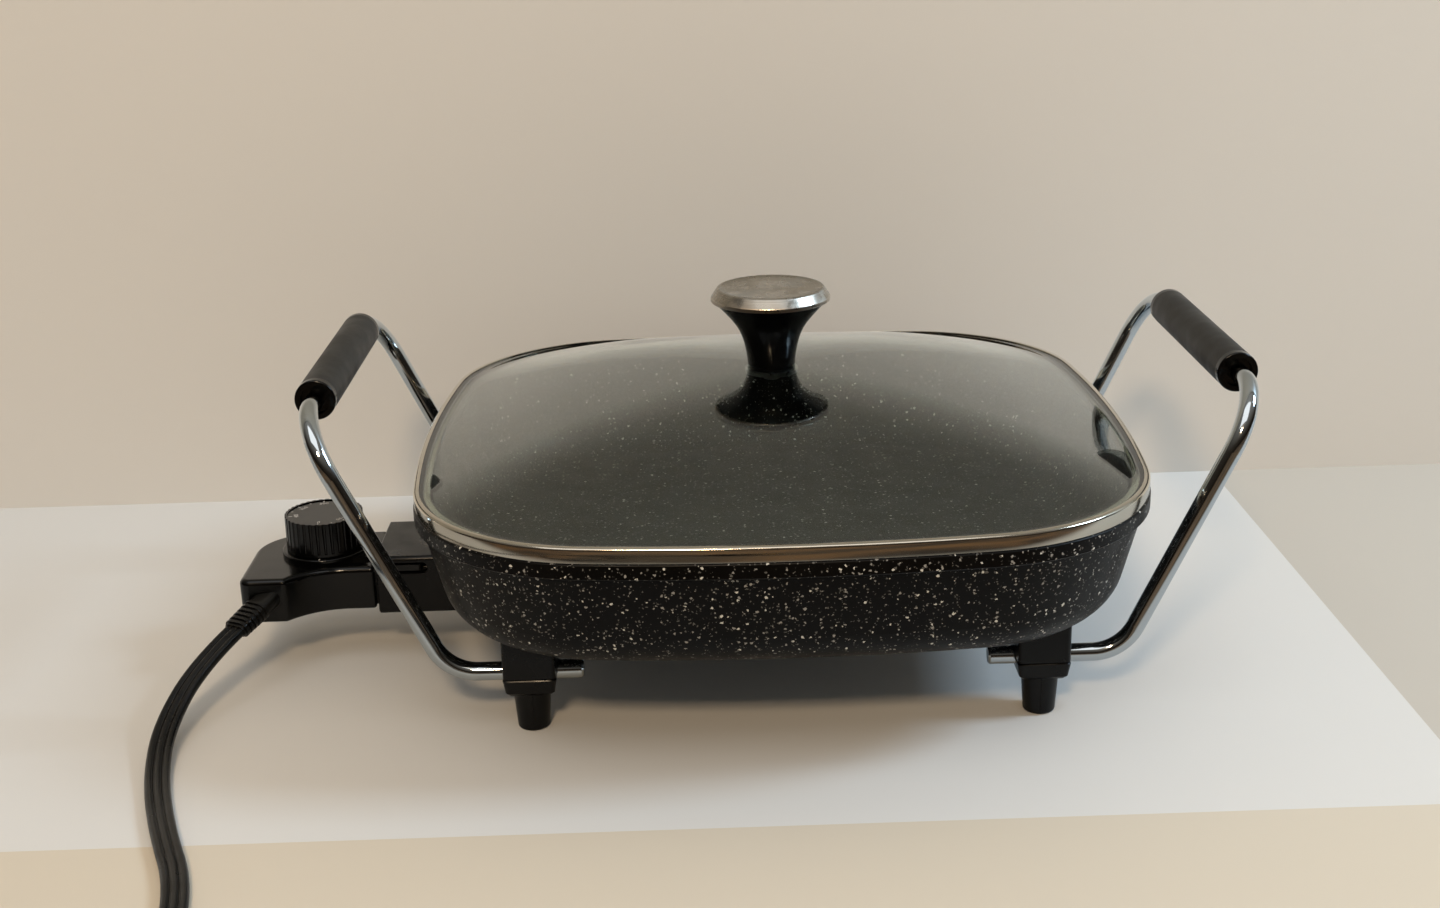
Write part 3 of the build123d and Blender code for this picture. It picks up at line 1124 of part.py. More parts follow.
def cord_piece(name, route):
    """A flat cord along a route of straight runs joined by the widest arcs that the runs allow."""
    points = [Vector(*place(*point)) for point in route]
    runs = [after - before for before, after in zip(points, points[1:])]
    radii = []
    for run, following in zip(runs, runs[1:]):
        half_turn = radians(run.get_angle(following)) / 2
        radii.append(ARC_SHARE * min(run.length, following.length) / tan(half_turn))
    path = FilletPolyline(*points, radius=radii, mode=Mode.PRIVATE)
    heading = runs[0].normalized()
    start = Plane(origin=points[0], x_dir=(heading.Y, -heading.X, 0), z_dir=heading)
    with BuildPart() as tube:
        with BuildSketch(start):
            RectangleRounded(CORD_WIDTH, CORD_THICKNESS, CORD_EDGE)
        sweep(path=path)
        section = CORD_WIDTH * CORD_THICKNESS - (4 - pi) * CORD_EDGE**2
        print(
            f"{name}: length {path.length:.1f}, tightest {min(radii) / CORD_WIDTH:.1f} widths, "
            f"runs {[round(run.length, 1) for run in runs]}, radii {[round(r, 1) for r in radii]}, "
            f"volume / (section x length) {tube.part.volume / (section * path.length):.4f}"
        )
        with BuildSketch(level(0)):
            with Locations(COIL_CENTRE):
                Circle(coil_outer)
        extrude(amount=COIL_LIFT + COIL_HEIGHT, mode=Mode.SUBTRACT)
    finish(tube, name)


relief_end = relief_plane.origin + relief_plane.z_dir * RELIEF_LENGTH
cord_start = (relief_end.X - PAN_X, relief_end.Y, relief_end.Z)
cord_piece("cord_tube", tuple(reversed((cord_start, *CORD_ROUTE))))
cord_piece("cord_tail", TAIL_ROUTE)
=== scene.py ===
"""Square electric skillet with a glass lid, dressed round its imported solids."""

import json
import math

import bmesh
import bpy
from mathutils import Matrix, Vector


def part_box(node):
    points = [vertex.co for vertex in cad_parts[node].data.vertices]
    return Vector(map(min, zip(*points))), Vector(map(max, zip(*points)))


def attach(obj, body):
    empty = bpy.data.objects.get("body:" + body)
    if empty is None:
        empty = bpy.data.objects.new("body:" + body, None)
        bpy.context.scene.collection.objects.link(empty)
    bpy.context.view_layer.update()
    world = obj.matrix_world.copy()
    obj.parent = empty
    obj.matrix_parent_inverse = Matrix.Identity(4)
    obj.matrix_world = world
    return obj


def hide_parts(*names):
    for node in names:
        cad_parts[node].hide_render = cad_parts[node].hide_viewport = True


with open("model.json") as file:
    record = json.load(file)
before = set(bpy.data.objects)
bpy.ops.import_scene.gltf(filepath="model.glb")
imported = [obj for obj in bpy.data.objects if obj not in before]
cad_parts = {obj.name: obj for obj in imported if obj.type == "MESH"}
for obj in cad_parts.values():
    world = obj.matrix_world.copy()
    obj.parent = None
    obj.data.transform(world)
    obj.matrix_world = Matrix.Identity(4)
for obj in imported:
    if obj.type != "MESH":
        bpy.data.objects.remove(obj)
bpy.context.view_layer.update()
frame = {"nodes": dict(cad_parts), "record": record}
nodes = frame["nodes"]

MM = 0.001
pan_low, pan_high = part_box("pan_body")
PAN_X = (pan_low[0] + pan_high[0]) / 2     # middle of the pan in the row frame


def from_pan(x, y, z):
    """A point given in millimetres from the middle of the pan."""
    return Vector((PAN_X + x * MM, y * MM, z * MM))


# ---------------------------------------------------------------- colours and nodes
WEAR_SPREAD = (0.36, 0.64)     # the part of a noise's range in which most of it lies
WEAR_DETAIL = 4.0


def linear(hex_colour):
    """A linear colour with alpha 1 from an sRGB hex value."""
    channels = [int(hex_colour[i : i + 2], 16) / 255 for i in (1, 3, 5)]
    return (*[c / 12.92 if c <= 0.04045 else ((c + 0.055) / 1.055) ** 2.4 for c in channels], 1.0)


def add_node(tree, kind, settings=None, inputs=None, stops=(), to=None):
    """A node with its settings, its inputs set or linked, the stops of a ramp, and a link onwards."""
    made = tree.nodes.new(kind)
    for name, value in (settings or {}).items():
        setattr(made, name, value)
    for key, value in (inputs or {}).items():
        socket = made.inputs[key]
        if isinstance(value, bpy.types.NodeSocket):
            tree.links.new(value, socket)
        else:
            socket.default_value = value
    for index, (position, colour) in enumerate(stops):
        elements = made.color_ramp.elements
        if index == len(elements):
            elements.new(position)
        elements[index].position = position
        elements[index].color = linear(colour)
    if to is not None:
        tree.links.new(made.outputs[0], to)
    return made


def new_material(name, **shader_values):
    """A material, its Principled shader with the sockets given, and its Object coordinates."""
    material = bpy.data.materials.new(name)
    material.use_nodes = True
    shader = material.node_tree.nodes["Principled BSDF"]
    for socket_name, value in shader_values.items():
        shader.inputs[socket_name.replace("_", " ")].default_value = value
    at = add_node(material.node_tree, "ShaderNodeTexCoord").outputs["Object"]
    return material, shader, at


def roughen(material, shader, at, grain, depth, patch, low, high, colours=()):
    """Bump of a grain size and depth, and roughness and colour that drift over patches, in metres."""
    tree = material.node_tree
    pits = add_node(tree, "ShaderNodeTexNoise", inputs={"Vector": at, "Scale": 1 / grain})
    bump = add_node(
        tree,
        "ShaderNodeBump",
        inputs={"Height": pits.outputs["Fac"], "Distance": depth},
        to=shader.inputs["Normal"],
    )
    wear = add_node(
        tree, "ShaderNodeTexNoise", inputs={"Vector": at, "Scale": 1 / patch, "Detail": WEAR_DETAIL}
    )
    drift_from, drift_to = WEAR_SPREAD
    add_node(
        tree,
        "ShaderNodeMapRange",
        inputs={
            "Value": wear.outputs["Fac"],
            "From Min": drift_from,
            "From Max": drift_to,
            "To Min": low,
            "To Max": high,
        },
        to=shader.inputs["Roughness"],
    )
    if colours:
        add_node(
            tree,
            "ShaderNodeValToRGB",
            inputs={"Fac": wear.outputs["Fac"]},
            stops=colours,
            to=shader.inputs["Base Color"],
        )
    return bump


# ---------------------------------------------------------------- materials
FLECK_WANDER = 1.6 * MM        # how far a fleck's edge strays
FLECK_WANDER_SCALE = 900.0     # ripples of that in a metre
FLECK_LAYERS = (               # cell in millimetres, share of it that a fleck may fill, brightness
    (3.5, 0.19, 1.0),
    (2.3, 0.27, 0.7),
    (1.5, 0.31, 0.45),
)
GLASS_WAVE = 60 * MM
GLASS_WAVE_DEPTH = 0.15 * MM
TOOL_RING = 0.3 * MM           # between the rings that a lathe tool leaves
TOOL_RING_DEPTH = 0.004 * MM
FILM_PATCH = 14 * MM           # of dust on a moulding
PATINA_GRAIN = 0.8 * MM
PATINA_DEPTH = 0.01 * MM
PATINA_PATCH = 4 * MM


def make_nonstick():
    """Sprayed non-stick coating, satin black, with pale mineral flecks about a millimetre across."""
    material, shader, at = new_material("sprayed_nonstick_coating", Specular_IOR_Level=0.16)
    tree = material.node_tree
    wander = add_node(
        tree, "ShaderNodeTexNoise", inputs={"Vector": at, "Scale": FLECK_WANDER_SCALE, "Detail": 1.0}
    )
    ragged = add_node(
        tree,
        "ShaderNodeVectorMath",
        {"operation": "MULTIPLY_ADD"},
        {0: wander.outputs["Color"], 1: (FLECK_WANDER,) * 3, 2: at},
    )
    brightest = None
    for cell, share, brightness in FLECK_LAYERS:
        cells = add_node(
            tree,
            "ShaderNodeTexVoronoi",
            inputs={"Vector": ragged.outputs["Vector"], "Scale": 1 / (cell * MM)},
        )
        chance = add_node(tree, "ShaderNodeSeparateColor", inputs={"Color": cells.outputs["Color"]})
        reach = add_node(
            tree, "ShaderNodeMath", {"operation": "MULTIPLY"}, {0: chance.outputs["Red"], 1: share}
        )
        inside = add_node(
            tree,
            "ShaderNodeMath",
            {"operation": "LESS_THAN"},
            {0: cells.outputs["Distance"], 1: reach.outputs["Value"]},
        )
        shade = add_node(
            tree, "ShaderNodeMath", {"operation": "MULTIPLY"}, {0: inside.outputs["Value"], 1: brightness}
        )
        if brightest is not None:
            shade = add_node(
                tree, "ShaderNodeMath", {"operation": "MAXIMUM"}, {0: brightest, 1: shade.outputs["Value"]}
            )
        brightest = shade.outputs["Value"]
    add_node(
        tree,
        "ShaderNodeValToRGB",
        inputs={"Fac": brightest},
        stops=((0.0, "#070605"), (0.4, "#4c4b48"), (0.7, "#8d8b87"), (1.0, "#cbc9c1")),
        to=shader.inputs["Base Color"],
    )
    roughen(
        material, shader, at, grain=0.7 * MM, depth=0.04 * MM, patch=18 * MM, low=0.34, high=0.46
    )
    return material


def make_glass():
    """Tempered soda-lime glass: clear, grey-green in its thickness, faintly wavy from the quench."""
    material, shader, at = new_material(
        "tempered_glass", Base_Color=linear("#dfe9e3"), Roughness=0.0, IOR=1.52, Transmission_Weight=1.0
    )
    tree = material.node_tree
    waves = add_node(
        tree, "ShaderNodeTexNoise", inputs={"Vector": at, "Scale": 1 / GLASS_WAVE, "Detail": 0.0}
    )
    add_node(
        tree,
        "ShaderNodeBump",
        inputs={"Height": waves.outputs["Fac"], "Distance": GLASS_WAVE_DEPTH},
        to=shader.inputs["Normal"],
    )
    return material


def make_polished_steel():
    """Rolled and polished stainless steel: a mirror with a slight warm cast and fine rub marks."""
    material, shader, at = new_material(
        "polished_stainless_steel", Base_Color=linear("#c9c1b2"), Metallic=1.0
    )
    roughen(
        material, shader, at, grain=1.5 * MM, depth=0.004 * MM, patch=15 * MM, low=0.1, high=0.17
    )
    return material


def make_spun_steel():
    """Stainless steel faced on a lathe: fine rings, which fan the highlight out."""
    material, shader, at = new_material("lathe_faced_stainless_steel", Metallic=1.0, Anisotropic=0.65)
    tree = material.node_tree
    axis = from_pan(0, 0, 0)
    arm = add_node(
        tree, "ShaderNodeVectorMath", {"operation": "SUBTRACT"}, {0: at, 1: (axis.x, axis.y, 0)}
    )
    flat = add_node(
        tree, "ShaderNodeVectorMath", {"operation": "MULTIPLY"}, {0: arm.outputs["Vector"], 1: (1, 1, 0)}
    )
    along = add_node(
        tree,
        "ShaderNodeVectorMath",
        {"operation": "CROSS_PRODUCT"},
        {0: flat.outputs["Vector"], 1: (0, 0, 1)},
    )
    add_node(
        tree,
        "ShaderNodeVectorMath",
        {"operation": "NORMALIZE"},
        {0: along.outputs["Vector"]},
        to=shader.inputs["Tangent"],
    )
    radius = add_node(tree, "ShaderNodeVectorMath", {"operation": "LENGTH"}, {0: flat.outputs["Vector"]})
    rings = add_node(
        tree,
        "ShaderNodeTexNoise",
        {"noise_dimensions": "1D"},
        {"W": radius.outputs["Value"], "Scale": 1 / TOOL_RING, "Detail": 3.0},
    )
    marks = roughen(
        material, shader, at, grain=2 * MM, depth=0.01 * MM, patch=7 * MM, low=0.2, high=0.4
    )
    add_node(
        tree,
        "ShaderNodeBump",
        inputs={"Height": rings.outputs["Fac"], "Distance": TOOL_RING_DEPTH},
        to=marks.inputs["Normal"],
    )
    add_node(
        tree,
        "ShaderNodeValToRGB",
        inputs={"Fac": rings.outputs["Fac"]},
        stops=((0.3, "#958e83"), (0.7, "#bbb4a9")),
        to=shader.inputs["Base Color"],
    )
    return material


def make_chrome():
    """Chrome plate on drawn wire: hard mirror with a cool cast and faint drawing marks."""
    material, shader, at = new_material("chrome_plated_wire", Base_Color=linear("#c3c9cc"), Metallic=1.0)
    roughen(
        material, shader, at, grain=2 * MM, depth=0.004 * MM, patch=12 * MM, low=0.05, high=0.12
    )
    return material


def make_moulding(name, colour, dusty, grain, depth, low, high, level):
    """A dark moulding whose colour lifts a little where dust and handling leave a film."""
    material, shader, at = new_material(name, Specular_IOR_Level=level)
    film = ((0.45, colour), (0.8, dusty))
    roughen(material, shader, at, grain, depth, FILM_PATCH, low, high, film)
    return material


def make_metal(name, bright, dull, low, high):
    """A small metal part whose colour dulls in patches."""
    material, shader, at = new_material(name, Metallic=1.0)
    patina = ((0.35, dull), (0.65, bright))
    roughen(material, shader, at, PATINA_GRAIN, PATINA_DEPTH, PATINA_PATCH, low, high, patina)
    return material


def make_ceramic():
    """Unglazed pressed steatite: off-white, matte and finely granular."""
    material, shader, at = new_material("unglazed_steatite")
    roughen(
        material,
        shader,
        at,
        grain=0.4 * MM,
        depth=0.03 * MM,
        patch=5 * MM,
        low=0.6,
        high=0.75,
        colours=((0.3, "#cfc7b8"), (0.7, "#e2dccf")),
    )
    return material


nonstick = make_nonstick()
glass = make_glass()
polished_steel = make_polished_steel()
spun_steel = make_spun_steel()
chrome = make_chrome()
# gloss phenolic from a polished mould: deep black under a sharp reflection
gloss_black = make_moulding(
    "polished_phenolic", "#030303", "#090908", 5 * MM, 0.01 * MM, low=0.12, high=0.22, level=0.32
)
# phenolic from a blasted mould: satin black
satin_black = make_moulding(
    "satin_phenolic", "#060505", "#0e0e0c", 0.6 * MM, 0.02 * MM, low=0.26, high=0.38, level=0.26
)
# stoved grip: dark grey-brown and dry, finely pitted
grip_skin = make_moulding(
    "matte_phenolic_grip", "#1b1a18", "#2a2825", 0.5 * MM, 0.04 * MM, low=0.44, high=0.58, level=0.35
)
# extruded chloroprene sheath: satin black with a talc film
rubber = make_moulding(
    "extruded_chloroprene", "#080706", "#15130f", 0.8 * MM, 0.02 * MM, low=0.26, high=0.4, level=0.4
)
# silicone strip: softer and greyer than the sheath
silicone = make_moulding(
    "moulded_silicone", "#151515", "#222221", 1 * MM, 0.01 * MM, low=0.4, high=0.5, level=0.4
)
# zinc plate: grey metal with a soft sheen
zinc = make_metal("zinc_plated_steel", "#b4b4b1", "#8f908e", low=0.25, high=0.42)
# bare strip brass: yellow metal dulled by handling
brass = make_metal("bare_brass", "#c9a25a", "#a37f42", low=0.2, high=0.36)
# annealed element sheath: dull grey metal with heat stains
sheath = make_metal("annealed_alloy_sheath", "#8d8a85", "#6a6560", low=0.38, high=0.55)
ceramic = make_ceramic()

FINISHES = {
    "nonstick_coating": nonstick,
    "phenolic": satin_black,
    "gloss_black": gloss_black,
    "grip_grey": grip_skin,
    "chrome_rod": chrome,
    "band_steel": polished_steel,
    "cap_steel": spun_steel,
    "lid_glass": glass,
    "silicone": silicone,
    "element_sheath": sheath,
    "bright_steel": zinc,
    "brass": brass,
    "ceramic": ceramic,
    "cord_black": rubber,
}
for entry in frame["record"]["subparts"]:
    dressed = nodes[entry["node"]]
    dressed.data.materials.clear()
    dressed.data.materials.append(FINISHES[entry["material_slot"]])

# ---------------------------------------------------------------- lid and knob
PAN_HALF = 160.0               # half size of the pan's outline, in millimetres like all of the lid
SIDE_RADIUS = 756.0            # of its bowed sides
CORNER_RADIUS = 84.0
SIDE_STEPS = 20
CORNER_STEPS = 22
BAND_HALF = 159.6
BAND_TOP_Z = 104.9
BAND_LOW_Z = 98.5
BAND_WALL = 0.6
BAND_LIP = 2.4                 # how far it laps over the glass
BAND_ROUNDING = 1.2            # radius of its upper outer edge
BAND_ROUNDING_STEPS = 4
BAND_BEVEL = 0.15              # of its sheared edges
SKIRT_HALF = 153.2             # of the step that hangs down inside the pan
SKIRT_LOW_Z = 95.5
GLASS_HALF = 159.0
GLASS_THICKNESS = 4.0
GLASS_BEND = (3.4, 7.0)        # the flat edge bends up between these, in from the edge
GLASS_CONE_END = 38.0          # and from here it crowns over
GLASS_SLOPE = 0.305
GLASS_SEAT = 4.5               # half size of the level part under the knob
GLASS_HOLE = 3.5               # half size of the hole for the knob's screw
GLASS_EDGE = 0.6               # rounding of its upper edge
EDGE_SHARE = 0.3               # where the middle of a rounding lies, as a share of its radius
RIM_RINGS = (2.0, 3.4, 4.3, 5.2, 6.1, 7.0, 12.0, 18.0, 24.0, 30.0, 36.0)    # in from the edge
CROWN_RINGS_START = 40.0
CROWN_RINGS_STEP = 6.0
CROWN_RINGS_COUNT = 19
TURNED_STEPS = 128
MERGE_REACH = 0.01 * MM        # in metres
SHARP_ANGLE = math.radians(32)
CAP_SECTION = (                # radius and height above the glass, from under the middle round to the top
    (2.0, 33.5),
    (22.9, 33.5),
    (25.9, 31.2),
    (25.9, 29.8),
    (26.1, 29.7),
    (26.9, 29.7),
    (27.1, 29.9),
    (27.1, 31.0),
    (26.98, 31.35),
    (26.75, 31.72),
    (24.62, 34.9),
    (24.36, 35.24),
    (24.0, 35.5),
    (23.55, 35.6),
    (22.9, 35.6),
    (22.7, 35.5),
    (22.5, 35.35),
    (19.5, 35.02),
    (16.4, 34.8),
    (15.9, 34.72),
    (15.4, 34.7),
    (8.0, 34.7),
    (2.0, 34.7),
)


def open_piece(name):
    """An empty piece at the origin, open for editing."""
    bpy.ops.object.select_all(action="DESELECT")
    piece = bpy.data.objects.new(name, bpy.data.meshes.new(name))
    bpy.context.scene.collection.objects.link(piece)
    bpy.context.view_layer.objects.active = piece
    piece.select_set(True)
    bpy.ops.object.mode_set(mode="EDIT")
    return piece


def spin_outline(piece, half, z):
    """The pan's outline at a half size, as eight arcs spun end to end from one vertex."""
    shrink = half / PAN_HALF
    side, corner = SIDE_RADIUS * shrink, CORNER_RADIUS * shrink
    shift = side - half
    # a corner's centre lies equally far out both ways, and side - corner from the centre of a side's arc
    centre = (math.sqrt(2 * (side - corner) ** 2 - shift**2) - shift) / 2
    meet = math.atan2(centre, centre + shift)
    edited = bmesh.from_edit_mesh(piece.data)
    edited.verts.new(from_pan(side * math.cos(meet) - shift, -side * math.sin(meet), z)).select = True
    bmesh.update_edit_mesh(piece.data)
    for quarter in range(4):
        turn = Matrix.Rotation(quarter * math.pi / 2, 3, "Z")
        for middle, angle, steps in (
            (Vector((-shift, 0, z)), 2 * meet, SIDE_STEPS),
            (Vector((centre, centre, z)), math.pi / 2 - 2 * meet, CORNER_STEPS),
        ):
            bpy.ops.mesh.spin(steps=steps, angle=-angle, center=from_pan(*(turn @ middle)), axis=(0, 0, 1))
    bpy.ops.mesh.select_all(action="SELECT")
    bpy.ops.mesh.remove_doubles(threshold=MERGE_REACH)


def raise_rings(stations):
    """Extrude the selected ring from station to station of size and height, in millimetres."""
    for (size, z), (next_size, next_z) in zip(stations, stations[1:]):
        bpy.ops.mesh.extrude_region_move()
        ratio = next_size / size
        bpy.ops.transform.resize(value=(ratio, ratio, 1), center_override=from_pan(0, 0, 0))
        bpy.ops.transform.translate(value=(0, 0, (next_z - z) * MM))


def close_piece(piece, material, body, stands_for):
    """Merge and fill a piece, turn its faces outwards, smooth it and put it on its body."""
    bpy.ops.mesh.select_all(action="SELECT")
    bpy.ops.mesh.remove_doubles(threshold=MERGE_REACH)
    bpy.ops.mesh.fill_holes(sides=0)
    bpy.ops.mesh.select_all(action="SELECT")
    bpy.ops.mesh.normals_make_consistent(inside=False)
    bpy.ops.object.mode_set(mode="OBJECT")
    bpy.ops.object.shade_smooth_by_angle(angle=SHARP_ANGLE)
    piece.data.materials.append(material)
    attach(piece, body)
    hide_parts(stands_for)
    bpy.ops.object.select_all(action="DESELECT")


def glass_height(inward):
    """Height of the glass's upper face over its flat edge, so far in from the edge."""
    low, high = GLASS_BEND
    if inward < high:
        return GLASS_SLOPE * max(inward - low, 0) ** 2 / (2 * (high - low))
    crowned = max(min(inward, GLASS_HALF - GLASS_SEAT) - GLASS_CONE_END, 0)
    straight = min(inward, GLASS_HALF - GLASS_SEAT) - (low + high) / 2
    return GLASS_SLOPE * (straight - crowned**2 / (2 * (GLASS_HALF - GLASS_CONE_END)))


def make_lid_glass():
    """The domed glass: its rounded edge, its upper face in to the hole, and back out underneath."""
    edge_z = BAND_TOP_Z - BAND_WALL
    crown = [CROWN_RINGS_START + CROWN_RINGS_STEP * count for count in range(CROWN_RINGS_COUNT)]
    inward_steps = (*RIM_RINGS, *crown, GLASS_HALF - GLASS_SEAT, GLASS_HALF - GLASS_HOLE)
    upper = [(GLASS_HALF - inward, edge_z + glass_height(inward)) for inward in inward_steps]
    lower = [(size, z - GLASS_THICKNESS) for size, z in reversed(upper)]
    edge = [
        (GLASS_HALF, edge_z - GLASS_THICKNESS),
        (GLASS_HALF, edge_z - GLASS_EDGE),
        (GLASS_HALF - GLASS_EDGE * EDGE_SHARE, edge_z - GLASS_EDGE * EDGE_SHARE),
        (GLASS_HALF - GLASS_EDGE, edge_z),
    ]
    piece = open_piece("lid_glass_blown")
    spin_outline(piece, *edge[0])
    raise_rings(edge + upper + lower + edge[:1])
    close_piece(piece, glass, "lid", "lid_glass")


def make_lid_band():
    """The band rolled over the glass's edge, and its skirt inside the pan, as half size and height."""
    lip = BAND_HALF - BAND_LIP
    section = [
        (lip, BAND_TOP_Z - BAND_WALL),
        (lip, BAND_TOP_Z - BAND_BEVEL),
        (lip + BAND_BEVEL, BAND_TOP_Z),
    ]
    for step in range(BAND_ROUNDING_STEPS + 1):
        turn = math.pi / 2 * step / BAND_ROUNDING_STEPS
        out = BAND_HALF - BAND_ROUNDING * (1 - math.sin(turn))
        section.append((out, BAND_TOP_Z - BAND_ROUNDING * (1 - math.cos(turn))))
    section += [
        (BAND_HALF, BAND_LOW_Z + 2 * BAND_BEVEL),
        (BAND_HALF - BAND_BEVEL, BAND_LOW_Z),
        (SKIRT_HALF, BAND_LOW_Z),
        (SKIRT_HALF, SKIRT_LOW_Z),
        (SKIRT_HALF - BAND_WALL, SKIRT_LOW_Z),
        (SKIRT_HALF - BAND_WALL, BAND_LOW_Z + BAND_WALL),
        (BAND_HALF - BAND_WALL, BAND_LOW_Z + BAND_WALL),
        (BAND_HALF - BAND_WALL, BAND_TOP_Z - BAND_WALL),
        section[0],
    ]
    piece = open_piece("lid_band_rolled")
    spin_outline(piece, *section[0])
    raise_rings(section)
    close_piece(piece, polished_steel, "lid", "lid_band")


def make_knob_cap():
    """The disc on the knob, turned with a raised rim round a shallow dish."""
    seat_z = BAND_TOP_Z - BAND_WALL + glass_height(GLASS_HALF)
    piece = open_piece("knob_cap_spun")
    radius, z = CAP_SECTION[0]
    bpy.ops.mesh.primitive_circle_add(
        vertices=TURNED_STEPS, radius=radius * MM, location=from_pan(0, 0, seat_z + z)
    )
    raise_rings(CAP_SECTION)
    close_piece(piece, spun_steel, "lid", "knob_cap")


make_lid_glass()
make_lid_band()
make_knob_cap()

# ---------------------------------------------------------------- cord
CORD_WIDTH = 10.3 * MM
CORD_THICKNESS = 4.2 * MM
CORD_REST_Z = 2.3              # millimetres, its middle when it lies on the table
OPEN_ROUTE = (
    (-244.138, -53.817, 31.008),
    (-256.7, -75.27, 23.34),
    (-265.5, -103.0, 8.5),
    (-261.0, -135.0, CORD_REST_Z),
    (-247.5, -176.0, CORD_REST_Z),
    (-228.0, -222.0, CORD_REST_Z),
    (-222.0, -280.0, CORD_REST_Z),
)
TAIL_ROUTE = (
    (-122.0, -384.0, CORD_REST_Z),
    (-96.0, -380.6, 3.2),
    (-72.0, -378.0, 10.0),
    (-52.0, -378.0, 10.0),
)
COIL_CENTRE = (-163.0, -322.0)
COIL_START_RADIUS = 52.5
COIL_PITCH = 10.6              # outwards in a turn
COIL_START = 205               # degrees
COIL_STEP = 26
COIL_STEPS = 16
CROSSING = (500, 560)          # degrees round, where the last turn passes over the lead in
CROSSING_RISE = 4.8
CROSSING_RAMP = 60
CORE_SHARE = 0.62              # of the cord's height, in the valleys between its three cores
EDGE_POINTS = 5                # on each side of a core's crown


def coil_route():
    """The turns of the put-away coil, the outer one humped where it crosses the lead in."""
    for step in range(COIL_STEPS + 1):
        degrees = COIL_START + COIL_STEP * step
        radius = COIL_START_RADIUS + COIL_PITCH * (degrees - COIL_START) / 360
        outside = max(CROSSING[0] - degrees, degrees - CROSSING[1], 0)
        rise = CROSSING_RISE * max(0, 1 - outside / CROSSING_RAMP)
        turn = math.radians(degrees)
        yield (
            COIL_CENTRE[0] + radius * math.cos(turn),
            COIL_CENTRE[1] + radius * math.sin(turn),
            CORD_REST_Z + rise,
        )


def cord_outline():
    """The cord's section: three round cores side by side under one sheath, so two valleys."""
    core = CORD_WIDTH / 3
    crown = CORD_THICKNESS / 2
    upper = []
    for centre in (core, 0.0, -core):
        for step in range(-EDGE_POINTS, EDGE_POINTS + 1):
            share = -step / EDGE_POINTS
            rise = math.sqrt(1 - share**2)
            at_edge = share * centre > 0
            upper.append((centre + share * core / 2, crown * (rise if at_edge else max(rise, CORE_SHARE))))
    return upper + [(across, -height) for across, height in reversed(upper) if height]


def make_cord():
    """The flat cord: its section drawn along the open lead, the put-away coil and the end."""
    section = bpy.data.curves.new("cord_section", "CURVE")
    section.dimensions = "2D"
    ring = section.splines.new("POLY")
    outline = cord_outline()
    ring.points.add(len(outline) - 1)
    for point, (across, up) in zip(ring.points, outline):
        point.co = (across, up, 0, 1)
    ring.use_cyclic_u = True
    profile = bpy.data.objects.new("cord_section", section)
    bpy.context.scene.collection.objects.link(profile)
    profile.hide_render = True
    profile.hide_viewport = True

    line = bpy.data.curves.new("flat_cord", "CURVE")
    line.dimensions = "3D"
    line.twist_mode = "Z_UP"
    line.resolution_u = 12
    route = [from_pan(*point) for point in (*OPEN_ROUTE, *coil_route(), *TAIL_ROUTE)]
    spline = line.splines.new("NURBS")
    spline.points.add(len(route) - 1)
    for point, place in zip(spline.points, route):
        point.co = (*place, 1)
    spline.order_u = 3
    spline.use_endpoint_u = True
    line.bevel_mode = "OBJECT"
    line.bevel_object = profile
    line.use_fill_caps = True
    line.materials.append(rubber)
    cord = bpy.data.objects.new("flat_cord", line)
    bpy.context.scene.collection.objects.link(cord)
    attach(cord, "heat_control")
    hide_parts("cord_tube", "cord_coil", "cord_tail")


make_cord()

# ---------------------------------------------------------------- print on the dial
DIAL_RANGE = 285               # degrees the dial turns through
DIAL_NUMBERS = ("0", "150", "200", "250", "300", "350", "400")
INDEX_ANGLE = 270              # degrees round from +X to the index on the collar
NUMBER_HEIGHT = 3.0 * MM
NUMBER_RADIUS = 12.6 * MM
TICK_RADIUS = 15.4 * MM
TICK_LENGTH = 1.7 * MM
TICK_WIDTH = 0.5 * MM
HALF_TICK_LENGTH = 1.0 * MM
INK_THICKNESS = 0.04 * MM
FACE_DEPTH = 0.5 * MM          # of the dial's sunk face
INDEX_LENGTH = 1.9 * MM


def make_ink():
    """Pad-printed epoxy ink: light grey, slightly broken where it met the moulding's grain."""
    material, shader, at = new_material("pad_printed_ink")
    roughen(
        material,
        shader,
        at,
        grain=0.3 * MM,
        depth=0.01 * MM,
        patch=1 * MM,
        low=0.45,
        high=0.6,
        colours=((0.3, "#a5a29c"), (0.6, "#c4c1ba")),
    )
    return material


def print_mark(place, degrees, outwards, text=None, length=0.0):
    """A number or a tick, printed out from a place with its top pointing outwards."""
    if text:
        bpy.ops.object.text_add(location=(0, 0, 0))
        mark = bpy.context.object
        mark.data.body = text
        mark.data.size = NUMBER_HEIGHT
        mark.data.align_x = "CENTER"
        mark.data.align_y = "CENTER"
        mark.data.extrude = INK_THICKNESS / 2
        bpy.ops.object.convert(target="MESH")
    else:
        bpy.ops.mesh.primitive_cube_add(size=1, location=(0, 0, 0))
        mark = bpy.context.object
        mark.data.transform(Matrix.Diagonal((TICK_WIDTH, length, INK_THICKNESS, 1)))
    turn = Matrix.Rotation(math.radians(degrees - 90), 4, "Z")
    mark.data.transform(Matrix.Translation(place) @ turn @ Matrix.Translation((0, outwards, 0)))
    return mark


